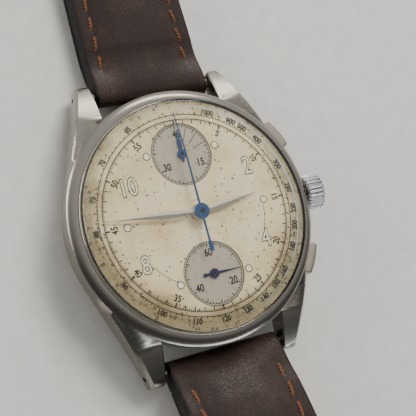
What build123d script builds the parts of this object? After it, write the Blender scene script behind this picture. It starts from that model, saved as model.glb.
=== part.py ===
"""Chronograph wristwatch: round steel case on a padded leather strap, with its hand-wound movement.

Units are millimetres.  The origin is the centre of the case back's flat outer face.
+Z points out through the dial, +Y to 12 o'clock and +X to the crown at 3 o'clock.
"""
from build123d import *
from math import asin, atan2, cos, degrees, hypot, pi, radians, sin, sqrt
import os

# ---------------------------------------------------------------- case
case_radius = 17.8
case_bottom = 2.9
case_low_chamfer = 0.3
case_shoulder = 7.0
case_neck_step = 0.8
case_neck_radius = case_radius - case_neck_step
case_neck_top = 7.36
case_bore_radius = 14.7
dial_ledge = 7.28
bezel_overhang = 0.2
bezel_radius = case_radius + bezel_overhang
bezel_slope_radius = 16.62
bezel_slope_top = 7.74
bezel_slope_bow = (17.42, 7.52)
bezel_chamfer = 0.14
bezel_groove = 7.67
bezel_opening = 15.87
dial_gap = 0.02
rim_round = 0.12
bezel_lip = 0.1
rim_outer_radius = 16.5
rim_top = 7.98
crystal_radius = 16.14
crystal_thickness = 1.0
crystal_edge = 9.0
crystal_top = 11.2
back_flat_radius = 13.6
back_edge_radius = case_radius - 0.3
back_bow = 1.2
back_bow_height = 0.95
back_thickness = 0.7
gasket_radius = 15.5
gasket_section = 0.3
snap_depth = 0.45

# ---------------------------------------------------------------- lugs and spring bars
lug_gap = 18.3
lug_tip_width = 2.05
lug_start_clock = 65.45
lug_bulge = (case_radius - 4.25, case_radius - 3.2)
lug_top_break = case_radius - 5.2
lug_top_height = 6.9
lug_tip_top = 3.9
lug_tip_bottom = 1.5
lug_corner = 0.75
lug_outer_chamfer = 0.4
lug_inner_chamfer = 0.18
bar_reach = 1.9
bar_place = case_radius + bar_reach
lug_tip_reach = 1.5
lug_tip = bar_place + lug_tip_reach
bar_height = 3.1
bar_radius = 0.75
bar_pin_radius = 0.4
bar_pin_reach = 0.9

# ---------------------------------------------------------------- dial and hands
dial_radius = 16.34
dial_thickness = 0.4
dial_top = 7.7
dial_hole = 1.12
counter_place = 8.45
counter_radius = 4.45
counter_depth = 0.14
counter_hole = 0.4
hand_thickness = 0.16
hour_hand_height = 8.1
minute_hand_height = 8.46
chronograph_hand_height = 9.0
small_hand_height = 7.68
small_hub_top = 7.98
small_arbor_top = 7.98
hour_length = 9.6
minute_length = 13.6
chronograph_length = 14.15
chronograph_tail = 5.6
hand_droop_start = 9.0
hand_droop_end = 15.0
hand_droop = 0.75
hour_clock = 82.5
minute_clock = 275.5
counter_clock = 2.0
seconds_clock = 90.0

# ---------------------------------------------------------------- crown and pushers
stem_height = 4.9
stem_radius = 0.6
stem_inner_end = 9.6
crown_radius = 2.72
crown_gap = 0.65
crown_inner_end = case_radius + crown_gap
crown_length = 2.85
crown_flutes = 24
crown_flute_radius = 0.3
crown_recess = 1.55
crown_tube_radius = 1.0
crown_travel = 0.8
crown_tube_cover = crown_travel + 0.75
crown_tube_end = crown_inner_end + crown_tube_cover
pusher_clock = 60.0
pusher_height = 4.7
pusher_cap = (4.8, 2.2)
pusher_cap_corner = 0.45
pusher_gap = 0.6
pusher_inner_face = case_radius + pusher_gap
pusher_pocket_depth = 0.4
pusher_pocket_face = case_radius - pusher_pocket_depth
pusher_pocket_gap = 0.2
pusher_length = 1.55
pusher_outer_face = pusher_inner_face + pusher_length
pusher_face_bow = 0.25
pusher_cap_recess = 0.6
pusher_rod_radius = 0.5
pusher_rod_end = 14.0
pusher_tube_radius = 0.95
pusher_tube_reach = 0.55
pusher_tube_end = pusher_pocket_face + pusher_tube_reach
running_gap = 0.05

# ---------------------------------------------------------------- movement levels
plate_radius = 14.6
plate_low = 5.4
bridge_radius = 14.2
bridge_low = 2.5
bridge_high = 3.4
barrel_bridge_edge = -1.5
train_bridge_edge = -1.7
chronograph_level = 1.75
winding_level = 2.1
wheel_thickness = 0.2
cam_level = 1.3
cam_thickness = 0.3
arbor_radius = 0.25
pinion_teeth = 10
pinion_gap = 0.03
hour_pipe = 1.0
cannon_pipe = 0.72
centre_pipe = 0.52
centre_bore = arbor_radius + running_gap
pillar_radius = 0.8
screw_radius = 0.35
screw_head_radius = 0.65
screw_reach = 1.0
balance_well_gap = 0.3
through_level = 20.0
dial_train_low = 6.6
barrel_low = 3.6
barrel_high = 4.85
barrel_wall = 0.35
centre_wheel_level = 5.05
centre_pinion_low = 3.55
third_wheel_level = 4.35
fourth_wheel_level = 3.75
escape_wheel_level = 4.9
escape_wheel_thickness = 0.15
pallet_level = 4.75
pallet_thickness = 0.12
balance_low = 2.75
balance_high = 3.25
minute_post_radius = 0.24
coupling_lever_low = 2.12
coupling_lever_thickness = 0.28
coupling_post_radius = 0.2

# ---------------------------------------------------------------- wheel teeth and places
centre_teeth = 80
third_teeth = 75
fourth_teeth = 70
escape_teeth = 15
escape_pinion_teeth = 7
barrel_teeth = 84
centre_pinion_teeth = 12
cannon_teeth = 12
minute_wheel_teeth = 36
minute_pinion_teeth = 10
hour_teeth = 40
drive_teeth = 60
coupling_teeth = 34
recorder_teeth = 90
ratchet_teeth = 48
crown_wheel_teeth = 34
winding_pinion_teeth = 16
centre_wheel_radius = 4.6
third_wheel_radius = 4.0
fourth_wheel_radius = 3.6
escape_wheel_radius = 2.4
drive_wheel_radius = 2.9
coupling_wheel_radius = 1.6
recorder_wheel_radius = 2.9
minute_wheel_radius = 1.9
barrel_radius = 5.45
barrel_clock = 53.7
ratchet_radius = 3.7
crown_wheel_place = (10.9, 1.0)
balance_place = (-7.8, -4.3)
balance_radius = 4.6
pallet_place = (-6.1, -6.95)
escape_place = (-4.0, -9.3)
cock_foot = (-11.0, 1.8)
column_wheel_place = (6.3, 10.4)
hammer_place = (6.8, -8.2)
minute_wheel_clock = 120.0
coupling_lever_tail = (-0.9, -11.0)

# ---------------------------------------------------------------- strap
strap_width = 17.2
strap_end_width = 16.0
strap_full_thickness = 4.3
strap_thin_thickness = 2.5
lining_thickness = 0.9
strap_wrap_radius = 1.5
lining_start = 2.4
strap_pad_start = 7.0
strap_lift_start = 10.0
strap_lift_end = 34.0
strap_pad_end = 40.0
strap_bar_gap = 0.06
segment_gap = 0.12
buckle_half_length = 68.0
buckle_half_flex = 30.0
holed_half_length = 108.0
holed_half_flex = 47.0
arch_rise = 27.55
arch_radius = 108.0
hole_radius = 0.9
hole_start = 59.0
hole_pitch = 6.5
hole_count = 7
strap_point = 9.0
strap_point_width = 5.0

# ---------------------------------------------------------------- buckle and keepers
buckle_bar_radius = 0.7
buckle_bar_height = 2.25
buckle_loop_radius = 1.35
buckle_wire = 1.9
buckle_gap_width = 16.6
buckle_length = 9.5
buckle_corner = 2.4
tongue_width = 1.7
tongue_thickness = 0.9
tongue_slot = 2.3
keeper_thickness = 0.9
keeper_length = 4.5
keeper_inner_height = 5.4
keeper_side_gap = 0.3
fixed_keeper_place = 60.0
sliding_keeper_place = 53.0
keeper_slack = 0.12


# ================================================================ plain shapes
def clock_point(distance, clock):
    """Point at a distance from the dial's centre, at an angle clockwise from 12 o'clock."""
    return (distance * sin(radians(clock)), distance * cos(radians(clock)))


# ---------------------------------------------------------------- places that follow from the sizes above
barrel_place = clock_point(hypot(5.1, 3.75), barrel_clock)
fourth_place = (0, -counter_place)
recorder_place = (0, counter_place)
third_place = (-2.383, -4.594)
coupling_reach = drive_wheel_radius + coupling_wheel_radius
coupling_place = (sqrt(coupling_reach ** 2 - counter_place ** 2 / 4), -counter_place / 2)
cannon_gear_radius = minute_wheel_radius * cannon_teeth / minute_wheel_teeth
minute_wheel_place = clock_point(minute_wheel_radius + cannon_gear_radius, minute_wheel_clock)
minute_wheel_reach = minute_wheel_radius + cannon_gear_radius
minute_pinion_radius = minute_wheel_reach * minute_pinion_teeth / (minute_pinion_teeth + hour_teeth)
hour_wheel_radius = minute_wheel_reach - minute_pinion_radius
barrel_pillars = [clock_point(12.9, 20), clock_point(12.9, 68), clock_point(12.9, -62)]
train_pillars = [(12.4, -2.8), clock_point(12.9, 135), (2.6, -12.7), (-7.4, -10.7)]
arbors = {
    "centre": (0, 0),
    "third": third_place,
    "fourth": fourth_place,
    "escape": escape_place,
    "recorder": recorder_place,
    "barrel": barrel_place,
    "pallet": pallet_place,
    "balance": balance_place,
}


def disc(radius, low, high, centre=(0, 0)):
    body = Cylinder(radius, high - low, align=(Align.CENTER, Align.CENTER, Align.MIN))
    return Pos(centre[0], centre[1], low) * body


def through_hole(radius, centre=(0, 0)):
    """Round cutter that passes through every level of the case and movement."""
    return disc(radius, 0, through_level, centre)


def ring(outer, inner, low, high, centre=(0, 0)):
    return disc(outer, low, high, centre) - disc(inner, low - 1, high + 1, centre)


def block(x_low, x_high, y_low, y_high, low, high):
    body = Box(x_high - x_low, y_high - y_low, high - low, align=(Align.MIN, Align.MIN, Align.MIN))
    return Pos(x_low, y_low, low) * body


def plate(outline, low, high):
    """Flat piece from a closed outline drawn in plan."""
    return extrude(Pos(0, 0, low) * make_face(outline), high - low)


def polygon(points, low, high):
    return plate(Polyline(*points, close=True), low, high)


def rod_along_x(radius, start, end, height, y=0):
    body = Cylinder(radius, end - start, align=(Align.CENTER, Align.CENTER, Align.MIN))
    return Pos(start, y, height) * Rot(0, 90, 0) * body


def arm(start, end, start_radius, end_radius, low, high):
    """Tapered lever arm with rounded ends."""
    angle = degrees(atan2(end[1] - start[1], end[0] - start[0]))
    length = hypot(end[0] - start[0], end[1] - start[1])
    sides = [(0, start_radius), (length, end_radius), (length, -end_radius), (0, -start_radius)]
    web = Pos(start[0], start[1], 0) * Rot(0, 0, angle) * polygon(sides, low, high)
    return web + disc(start_radius, low, high, start) + disc(end_radius, low, high, end)


def gear(teeth, pitch_radius, low, high, centre=(0, 0), phase=0.0):
    """Wheel with straight-sided teeth that leave backlash all round."""
    module = 2 * pitch_radius / teeth
    tip = pitch_radius + 0.7 * module
    root = pitch_radius - 1.1 * module
    step = 360 / teeth
    points = []
    for tooth in range(teeth):
        middle = phase + tooth * step
        for radius, share in ((root, -0.31), (tip, -0.13), (tip, 0.13), (root, 0.31)):
            angle = radians(middle + share * step)
            points.append((centre[0] + radius * cos(angle), centre[1] + radius * sin(angle)))
    return polygon(points, low, high)


def windows(count, radius, hole, low, high, centre=(0, 0)):
    """Round windows that lighten a wheel."""
    cut = []
    for place in range(count):
        angle = 2 * pi * place / count
        middle = (centre[0] + radius * cos(angle), centre[1] + radius * sin(angle))
        cut.append(disc(hole, low - 1, high + 1, middle))
    return cut


def spiral(inner, pitch, half_turns, thickness, low, high, centre):
    """Flat coiled spring made of half circles that widen by half a pitch each time."""
    outside = []
    inside = []
    side = 1
    middle = 0.0
    radius = inner
    for _ in range(half_turns):
        for edge, grow in ((outside, thickness / 2), (inside, -thickness / 2)):
            reach = radius + grow
            ends = ((middle - side * reach, 0), (middle + side * reach, 0))
            edge.append(ThreePointArc(ends[0], (middle, side * reach), ends[1]))
        middle -= side * pitch / 4
        radius += pitch / 4
        side = -side
    ends = [Line(outside[0] @ 0, inside[0] @ 0), Line(outside[-1] @ 1, inside[-1] @ 1)]
    return Pos(centre[0], centre[1], 0) * plate(outside + inside + ends, low, high)


def save(shape, name):
    export_step(shape, f"parts/{name}.step")


# ================================================================ case
def make_lug():
    """One lug, for the corner between 12 o'clock and the crown."""
    inner = lug_gap / 2
    outer = inner + lug_tip_width
    start = clock_point(case_radius, lug_start_clock)
    outline = [
        Line((inner, 9), (inner, lug_tip)),
        Line((inner, lug_tip), (outer, lug_tip)),
        ThreePointArc((outer, lug_tip), lug_bulge, start),
        Line(start, (inner, 9)),
    ]
    body = plate(outline, 0, lug_top_height + 1)
    side = [
        Line((0, 0, case_bottom), (0, 0, lug_top_height)),
        Line((0, 0, lug_top_height), (0, lug_top_break, lug_top_height)),
        ThreePointArc(
            (0, lug_top_break, lug_top_height),
            (0, (lug_top_break + lug_tip) / 2 + 0.5, (lug_top_height + lug_tip_top) / 2 + 0.35),
            (0, lug_tip, lug_tip_top),
        ),
        Line((0, lug_tip, lug_tip_top), (0, lug_tip, lug_tip_bottom)),
        ThreePointArc(
            (0, lug_tip, lug_tip_bottom),
            (0, (lug_tip + case_neck_radius) / 2, (lug_tip_bottom + case_bottom) / 2 + 0.05),
            (0, case_neck_radius - 3, case_bottom),
        ),
        Line((0, case_neck_radius - 3, case_bottom), (0, 0, case_bottom)),
    ]
    envelope = extrude(make_face(side), amount=case_radius + 5, both=True)
    lug = body & envelope
    upright = lug.edges().filter_by(Axis.Z)
    corner = [e for e in upright if e.center().Y > lug_tip - 0.1 and e.center().X < inner + 0.1]
    lug = fillet(corner, lug_corner)
    lug = chamfer(lug_top_edges(lug, inner - 0.1, outer - 0.3, 0.5), lug_inner_chamfer)
    return chamfer(lug_top_edges(lug, outer - 0.3, case_radius, 3), lug_outer_chamfer)


def lug_top_edges(lug, x_low, x_high, shortest):
    """Edges round the sloping top of a lug whose middles lie between two widths."""
    edges = [e for e in lug.edges() if e.length > shortest and x_low < e.center().X < x_high]
    return [e for e in edges if e.center().Y > 9.5 and e.center().Z > lug_tip_top - 0.3]


def make_case_middle():
    body = ring(case_radius, case_bore_radius, case_bottom, case_shoulder)
    low_circles = body.edges().filter_by(GeomType.CIRCLE).group_by(Axis.Z)[0]
    body = chamfer(low_circles.sort_by(SortBy.RADIUS)[-1], case_low_chamfer)
    corner = make_lug()
    upper = [corner, mirror(corner, Plane.YZ)]
    lugs = upper + [mirror(lug, Plane.XZ) for lug in upper]
    for lug in lugs:
        body = body + (lug - through_hole(case_bore_radius + 1.5))
    body = body + ring(case_neck_radius, case_bore_radius, case_shoulder - 0.5, case_neck_top)
    body = body - disc(dial_radius + 0.06, dial_ledge, dial_top + 1)
    for side in (1, -1):
        hole = rod_along_x(bar_pin_radius, -case_radius, case_radius, bar_height, side * bar_place)
        body = body - hole
    body = body - rod_along_x(crown_tube_radius, 0, case_radius + 2, stem_height)
    for side in (1, -1):
        body = body - along_pusher(side, pusher_tube_radius, 0, case_radius + 2)
        body = body - pusher_pocket(side)
    return body


def make_bezel():
    """Ring that snaps over the case neck, with a plain slope, a groove and a raised bright rim."""
    seat = dial_top + dial_gap
    inner = crystal_radius + 0.02
    rim_low = rim_top - rim_round
    slope = ThreePointArc(
        (bezel_radius, 0, case_shoulder + bezel_chamfer),
        (bezel_slope_bow[0], 0, bezel_slope_bow[1]),
        (bezel_slope_radius, 0, bezel_slope_top),
    )
    rim_middle = (rim_outer_radius + inner) / 2
    rim = ThreePointArc((rim_outer_radius, 0, rim_low), (rim_middle, 0, rim_top), (inner, 0, rim_low))
    inside = [
        (inner, 0, rim_low),
        (inner, 0, seat + bezel_lip),
        (bezel_opening, 0, seat + bezel_lip),
        (bezel_opening, 0, seat),
        (dial_radius + 0.06, 0, seat),
        (dial_radius + 0.06, 0, case_neck_top),
        (case_neck_radius, 0, case_neck_top),
        (case_neck_radius, 0, case_shoulder),
        (bezel_radius - 0.05, 0, case_shoulder),
        (bezel_radius, 0, case_shoulder + bezel_chamfer),
    ]
    groove = [
        (bezel_slope_radius, 0, bezel_slope_top),
        (bezel_slope_radius - 0.03, 0, bezel_groove),
        (rim_outer_radius, 0, bezel_groove),
        (rim_outer_radius, 0, rim_low),
    ]
    return revolve(make_face([slope, rim, Polyline(*inside), Polyline(*groove)]), Axis.Z)


def make_crystal():
    """Domed shell with a short upright skirt."""
    rise = crystal_top - crystal_edge
    dome = (crystal_radius ** 2 + rise ** 2) / (2 * rise)
    skirt = crystal_radius - crystal_thickness
    low = dial_top + dial_gap + bezel_lip
    inner_dome = dome - crystal_thickness
    inner_edge = crystal_top - dome + sqrt(inner_dome ** 2 - skirt ** 2)
    half = asin(crystal_radius / dome) / 2
    inner_half = asin(skirt / inner_dome) / 2
    centre_height = crystal_top - dome
    outside = ThreePointArc(
        (0, 0, crystal_top),
        (dome * sin(half), 0, centre_height + dome * cos(half)),
        (crystal_radius, 0, crystal_edge),
    )
    inside = ThreePointArc(
        (skirt, 0, inner_edge),
        (inner_dome * sin(inner_half), 0, centre_height + inner_dome * cos(inner_half)),
        (0, 0, crystal_top - crystal_thickness),
    )
    edges = [
        outside,
        Polyline(
            (crystal_radius, 0, crystal_edge),
            (crystal_radius, 0, low),
            (skirt, 0, low),
            (skirt, 0, inner_edge),
        ),
        inside,
        Line((0, 0, crystal_top - crystal_thickness), (0, 0, crystal_top)),
    ]
    return revolve(make_face(edges), Axis.Z)


def make_case_back():
    bowed = (back_edge_radius - back_bow, 0, back_bow_height)
    outside = ThreePointArc((back_flat_radius, 0, 0), bowed, (back_edge_radius, 0, case_bottom))
    inner_foot = back_flat_radius - 0.7
    edges = [
        Line((0, 0, 0), (back_flat_radius, 0, 0)),
        outside,
        Polyline(
            (back_edge_radius, 0, case_bottom),
            (case_bore_radius - running_gap, 0, case_bottom),
            (case_bore_radius - running_gap, 0, case_bottom + snap_depth),
            (case_bore_radius - 0.35, 0, case_bottom + snap_depth),
            (case_bore_radius - 0.35, 0, 1.9),
            (inner_foot, 0, back_thickness),
            (0, 0, back_thickness),
            (0, 0, 0),
        ),
    ]
    back = revolve(make_face(edges), Axis.Z)
    low = case_bottom - gasket_section
    groove = ring(gasket_radius + gasket_section, gasket_radius - gasket_section, low, through_level)
    return back - groove


def make_gasket():
    reach = gasket_section - 0.02
    return ring(gasket_radius + reach, gasket_radius - reach, case_bottom - reach, case_bottom)


def make_spring_bars():
    bars = []
    half = lug_gap / 2
    for side in (1, -1):
        y = side * bar_place
        bar = rod_along_x(bar_radius, -half + 0.1, half - 0.1, bar_height, y)
        bar = bar + rod_along_x(bar_pin_radius, -half - bar_pin_reach, half + bar_pin_reach, bar_height, y)
        bars.append(bar)
    return Compound(children=bars)


# ================================================================ crown and pushers
def make_crown():
    end = crown_inner_end + crown_length
    crown = rod_along_x(crown_radius, crown_inner_end, end, stem_height)
    crown = chamfer(crown.edges().filter_by(GeomType.CIRCLE), 0.28)
    for flute in range(crown_flutes):
        angle = 2 * pi * flute / crown_flutes
        y = (crown_radius + 0.08) * cos(angle)
        height = stem_height + (crown_radius + 0.08) * sin(angle)
        crown = crown - rod_along_x(crown_flute_radius, crown_inner_end - 1, end + 1, height, y)
    crown = crown - rod_along_x(crown_recess, crown_inner_end - 1, crown_tube_end + 0.3, stem_height)
    return crown - rod_along_x(stem_radius, crown_inner_end - 1, end - 0.5, stem_height)


def make_crown_gasket():
    outer = crown_recess - 0.02
    start = crown_inner_end + 0.25
    body = rod_along_x(outer, start, start + 0.8, stem_height)
    return body - rod_along_x(crown_tube_radius + running_gap, start - 1, start + 2, stem_height)


def make_crown_tube():
    body = rod_along_x(crown_tube_radius, case_bore_radius + 0.1, crown_tube_end, stem_height)
    bore = rod_along_x(stem_radius + running_gap, case_bore_radius - 1, crown_tube_end + 1, stem_height)
    return body - bore


def make_stem():
    end = crown_inner_end + crown_length - 0.5
    body = rod_along_x(stem_radius, stem_inner_end + 0.9, end, stem_height)
    return body + rod_along_x(0.35, stem_inner_end, stem_inner_end + 1, stem_height)


def make_winding_pinion():
    flat = gear(winding_pinion_teeth, 1.15, 11.5, 12.7)
    pinion = Pos(0, 0, stem_height) * Rot(0, 90, 0) * flat
    return pinion - rod_along_x(stem_radius, 11, 13.2, stem_height)


def along_pusher(side, radius, start, end):
    """Round rod on the axis of the upper (1) or lower (-1) pusher."""
    clock = pusher_clock if side > 0 else 180 - pusher_clock
    body = Cylinder(radius, end - start, align=(Align.CENTER, Align.CENTER, Align.MIN))
    return Rot(0, 0, 90 - clock) * Pos(start, 0, pusher_height) * Rot(0, 90, 0) * body


def pusher_pocket(side):
    """Flat milled across the flank, with room for the cap to travel."""
    clock = pusher_clock if side > 0 else 180 - pusher_clock
    half_width = pusher_cap[0] / 2 + pusher_pocket_gap
    half_height = pusher_cap[1] / 2 + pusher_pocket_gap
    low = pusher_height - half_height
    pocket = block(pusher_pocket_face, lug_tip, -half_width, half_width, low, low + 2 * half_height)
    return Rot(0, 0, 90 - clock) * pocket


def make_pusher(side):
    clock = pusher_clock if side > 0 else 180 - pusher_clock
    width, height = pusher_cap
    face = [
        Line((pusher_inner_face, -width / 2), (pusher_inner_face, width / 2)),
        Line((pusher_inner_face, width / 2), (pusher_outer_face - pusher_face_bow, width / 2)),
        ThreePointArc(
            (pusher_outer_face - pusher_face_bow, width / 2),
            (pusher_outer_face, 0),
            (pusher_outer_face - pusher_face_bow, -width / 2),
        ),
        Line((pusher_outer_face - pusher_face_bow, -width / 2), (pusher_inner_face, -width / 2)),
    ]
    low = pusher_height - height / 2
    cap = plate(face, low, low + height)
    cap = fillet(cap.edges().filter_by(Axis.Z), pusher_cap_corner)
    outer = [e for e in cap.edges() if e.center().X > pusher_outer_face - 0.6]
    outer = [e for e in outer if abs(e.tangent_at(0.5).Z) < 0.1]
    cap = chamfer(outer, 0.12)
    cap = Rot(0, 0, 90 - clock) * cap
    recess_end = pusher_inner_face + pusher_cap_recess
    cap = cap - along_pusher(side, pusher_tube_radius + running_gap, pusher_inner_face - 1, recess_end)
    return cap + along_pusher(side, pusher_rod_radius, pusher_rod_end, pusher_outer_face - 0.5)


def make_pusher_tubes():
    tubes = []
    for side in (1, -1):
        tube = along_pusher(side, pusher_tube_radius, case_bore_radius + 0.15, pusher_tube_end)
        bore = along_pusher(side, pusher_rod_radius + running_gap, case_bore_radius - 1, case_radius + 2)
        tubes.append(tube - bore)
    return Compound(children=tubes)


# ================================================================ dial and hands
def make_dial():
    dial = disc(dial_radius, dial_top - dial_thickness, dial_top)
    dial = dial - disc(dial_hole, dial_top - 1, dial_top + 1)
    for side in (1, -1):
        place = (0, side * counter_place)
        dial = dial - disc(counter_radius, dial_top - counter_depth, dial_top + 1, place)
        dial = dial - disc(counter_hole, dial_top - 1, dial_top + 1, place)
    return dial


def aimed(shape, clock, centre=(0, 0)):
    """Turn a hand that points to 12 o'clock to its own clock angle."""
    return Pos(centre[0], centre[1], 0) * Rot(0, 0, -clock) * shape


def leaf_outline(length, width, widest, root, root_width, tip_width=0.06):
    """Leaf blade that swells from its root to its widest place, then runs out to a fine tip."""
    start = (root_width / 2, root)
    shoulder = (width / 2, widest)
    taper = (width * 0.3, (widest + length) / 2)
    end = (tip_width, length)
    right = Spline(start, shoulder, taper, end)
    left = mirror(right, Plane.YZ)
    return [right, left, Line(start, (-start[0], root)), Line(end, (-tip_width, length))]


def bent_sheet(low):
    """Level sheet that bends down towards the dial near the end of a long hand."""
    top = low + hand_thickness
    outline = [
        (0, -hand_droop_start, low),
        (0, hand_droop_start, low),
        (0, hand_droop_end, low - hand_droop),
        (0, hand_droop_end, top - hand_droop),
        (0, hand_droop_start, top),
        (0, -hand_droop_start, top),
    ]
    return extrude(make_face(Polyline(*outline, close=True)), amount=2, both=True)


def make_hour_hand():
    low = hour_hand_height
    hand = plate(leaf_outline(hour_length, 1.12, 3.4, 0.6, 0.6), low, low + hand_thickness)
    hand = hand + disc(1.2, low - 0.04, low + hand_thickness + 0.04) - disc(hour_pipe, low - 1, low + 1)
    return aimed(hand, hour_clock)


def make_minute_hand():
    low = minute_hand_height
    blade = plate(leaf_outline(minute_length, 0.98, 5.2, 0.6, 0.55), low - 1, low + 1)
    hand = blade & bent_sheet(low)
    hand = hand + disc(1.0, low - 0.04, low + hand_thickness + 0.04) - disc(cannon_pipe, low - 1, low + 1)
    return aimed(hand, minute_clock)


def make_chronograph_hand():
    low = chronograph_hand_height
    outline = [(0.16, 0), (0.07, chronograph_length), (-0.07, chronograph_length), (-0.16, 0)]
    blade = polygon(outline, low - 1, low + 1)
    right_side = [(0.13, 0), (0.16, -3.9), (0.3, -4.4), (0.3, -chronograph_tail)]
    paddle = polygon(
        right_side + [(-x, y) for x, y in reversed(right_side)],
        low - 1,
        low + 1,
    )
    hub = disc(1.07, low - 0.1, low + 0.42)
    hub = chamfer(hub.edges().filter_by(GeomType.CIRCLE), 0.08)
    return ((blade + paddle) & bent_sheet(low)) + hub - disc(arbor_radius, low - 1, low + 1)


def make_small_hand(length, tail, width, clock, place):
    low = small_hand_height
    hand = plate(leaf_outline(length, width, length * 0.35, 0.3, 0.3, 0.04), low, low + hand_thickness)
    hand = hand + polygon([(0.12, 0), (0.16, -tail), (-0.16, -tail), (-0.12, 0)], low, low + hand_thickness)
    hand = hand + disc(0.62, low - 0.05, small_hub_top) - disc(arbor_radius, low - 1, low + 1)
    return aimed(hand, clock, place)


# ================================================================ movement
def make_main_plate():
    body = disc(plate_radius, plate_low, dial_top - dial_thickness)
    body = body - disc(hour_wheel_radius + 0.45, dial_train_low, through_level)
    body = body - disc(minute_wheel_radius + 0.4, dial_train_low, through_level, minute_wheel_place)
    body = body - through_hole(centre_pipe + running_gap)
    body = body + disc(minute_post_radius, dial_train_low - 0.1, dial_train_low + 0.5, minute_wheel_place)
    body = body - disc(balance_radius + balance_well_gap, 0, plate_low + balance_well_gap, balance_place)
    for name, place in arbors.items():
        if name != "centre":
            body = body - through_hole(arbor_radius + running_gap, place)
    for foot in barrel_pillars + train_pillars + [cock_foot]:
        body = body - disc(screw_radius, 0, plate_low + 1.2, foot)
    body = body - rod_along_x(1.45, 9.2, 16, stem_height)
    return body


def make_bridge(region, pillars, wells, name_list, low=bridge_low, high=bridge_high):
    """Bridge plate with its pillars, pivot holes and screw holes."""
    body = region
    for foot in pillars:
        body = body + disc(pillar_radius, low, plate_low, foot)
    for radius, place in wells:
        body = body - disc(radius, 0, high + 0.5, place)
    for name in name_list:
        body = body - through_hole(arbor_radius + running_gap, arbors[name])
    for foot in pillars:
        body = body - through_hole(screw_radius, foot)
    return body


def make_barrel_bridge():
    region = disc(bridge_radius, bridge_low, bridge_high)
    region = region & block(-case_radius, case_radius, barrel_bridge_edge, case_radius, 0, plate_low)
    wells = [(balance_radius + balance_well_gap, balance_place), (2.0, cock_foot), (2.75, crown_wheel_place)]
    body = make_bridge(region, barrel_pillars, wells, ("centre", "recorder", "barrel"))
    body = body - disc(0.85, 0, bridge_high + 0.2, column_wheel_place)
    return body


def make_train_bridge():
    region = disc(bridge_radius, bridge_low, bridge_high)
    region = region & block(-case_radius, case_radius, -case_radius, train_bridge_edge, 0, plate_low)
    wells = [(balance_radius + balance_well_gap, balance_place)]
    return make_bridge(region, train_pillars, wells, ("third", "fourth", "escape"))


def make_balance_cock():
    body = arm(cock_foot, balance_place, 1.6, 1.1, 1.35, 2.1)
    body = body + disc(1.6, 2.1, plate_low, cock_foot)
    body = body - through_hole(arbor_radius + running_gap, balance_place)
    return body - through_hole(screw_radius, cock_foot)


def make_pallet_bridge():
    start = (-8.6, -8.9)
    body = arm(start, pallet_place, 0.7, 0.55, 3.75, 4.2)
    body = body + disc(0.7, 4.2, plate_low, start)
    return body - through_hole(arbor_radius + running_gap, pallet_place)


def make_chronograph_bridge():
    foot = (-3.9, 3.4)
    body = arm((0, 0), foot, 0.75, 0.75, 0.85, 1.2) + arm(foot, recorder_place, 0.75, 0.75, 0.85, 1.2)
    body = body + disc(0.75, 1.2, bridge_low, foot)
    for place in ((0, 0), recorder_place):
        body = body - through_hole(arbor_radius + running_gap - 0.1, place)
    return body


def make_barrel():
    drum = disc(barrel_radius - 0.25, barrel_low, barrel_high, barrel_place)
    drum = drum + gear(barrel_teeth, barrel_radius, barrel_low, barrel_low + 0.4, barrel_place)
    room = disc(barrel_radius - 0.25 - barrel_wall, barrel_low + 0.25, barrel_high - 0.25, barrel_place)
    drum = drum - room
    return drum - through_hole(0.65, barrel_place)


def make_mainspring():
    return spiral(1.6, 0.42, 14, 0.14, barrel_low + 0.3, barrel_high - 0.3, barrel_place)


def make_ratchet_wheel():
    body = gear(ratchet_teeth, ratchet_radius, winding_level, winding_level + 0.3, barrel_place, 3.0)
    body = body + disc(0.6, 3.45, 4.95, barrel_place)
    return body + disc(arbor_radius, winding_level, plate_low + 0.6, barrel_place)


def make_crown_wheel():
    reach = hypot(crown_wheel_place[0] - barrel_place[0], crown_wheel_place[1] - barrel_place[1])
    radius = reach - ratchet_radius - 0.09
    body = gear(crown_wheel_teeth, radius, winding_level, winding_level + 0.3, crown_wheel_place)
    return body + ring(2.2, 1.8, winding_level + 0.3, 3.55, crown_wheel_place)


def make_train_wheel(teeth, radius, level, place, pinion, pinion_span, span, phase=0.0):
    """Wheel, pinion and arbor of one step of the train."""
    body = gear(teeth, radius, level, level + wheel_thickness, place, phase)
    for cut in windows(5, radius * 0.56, radius * 0.25, level, level + wheel_thickness, place):
        body = body - cut
    body = body + disc(arbor_radius, span[0], span[1], place)
    if pinion:
        body = body + gear(pinion[0], pinion[1], pinion_span[0], pinion_span[1], place)
    return body


def make_centre_wheel():
    radius = centre_wheel_radius
    level = centre_wheel_level
    body = gear(centre_teeth, radius, level, level + wheel_thickness)
    for cut in windows(5, radius * 0.58, radius * 0.25, level, level + wheel_thickness):
        body = body - cut
    body = body + gear(centre_pinion_teeth, 0.85, centre_pinion_low, level)
    body = body + disc(centre_pipe, 3.45, 8.0)
    return body - through_hole(centre_bore)


def make_third_wheel():
    reach = hypot(*third_place) - centre_wheel_radius
    pinion = (pinion_teeth, reach - pinion_gap)
    level = third_wheel_level
    span = (2.6, 6.4)
    return make_train_wheel(third_teeth, third_wheel_radius, level, third_place, pinion, (4.7, 5.3), span)


def make_fourth_wheel():
    reach = hypot(third_place[0], third_place[1] + counter_place) - third_wheel_radius
    pinion = (pinion_teeth, reach - pinion_gap)
    span = (1.45, small_arbor_top)
    level = fourth_wheel_level
    body = make_train_wheel(fourth_teeth, fourth_wheel_radius, level, fourth_place, pinion, (4.1, 4.7), span)
    drive_top = chronograph_level + wheel_thickness
    return body + gear(drive_teeth, drive_wheel_radius, chronograph_level, drive_top, fourth_place)


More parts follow.
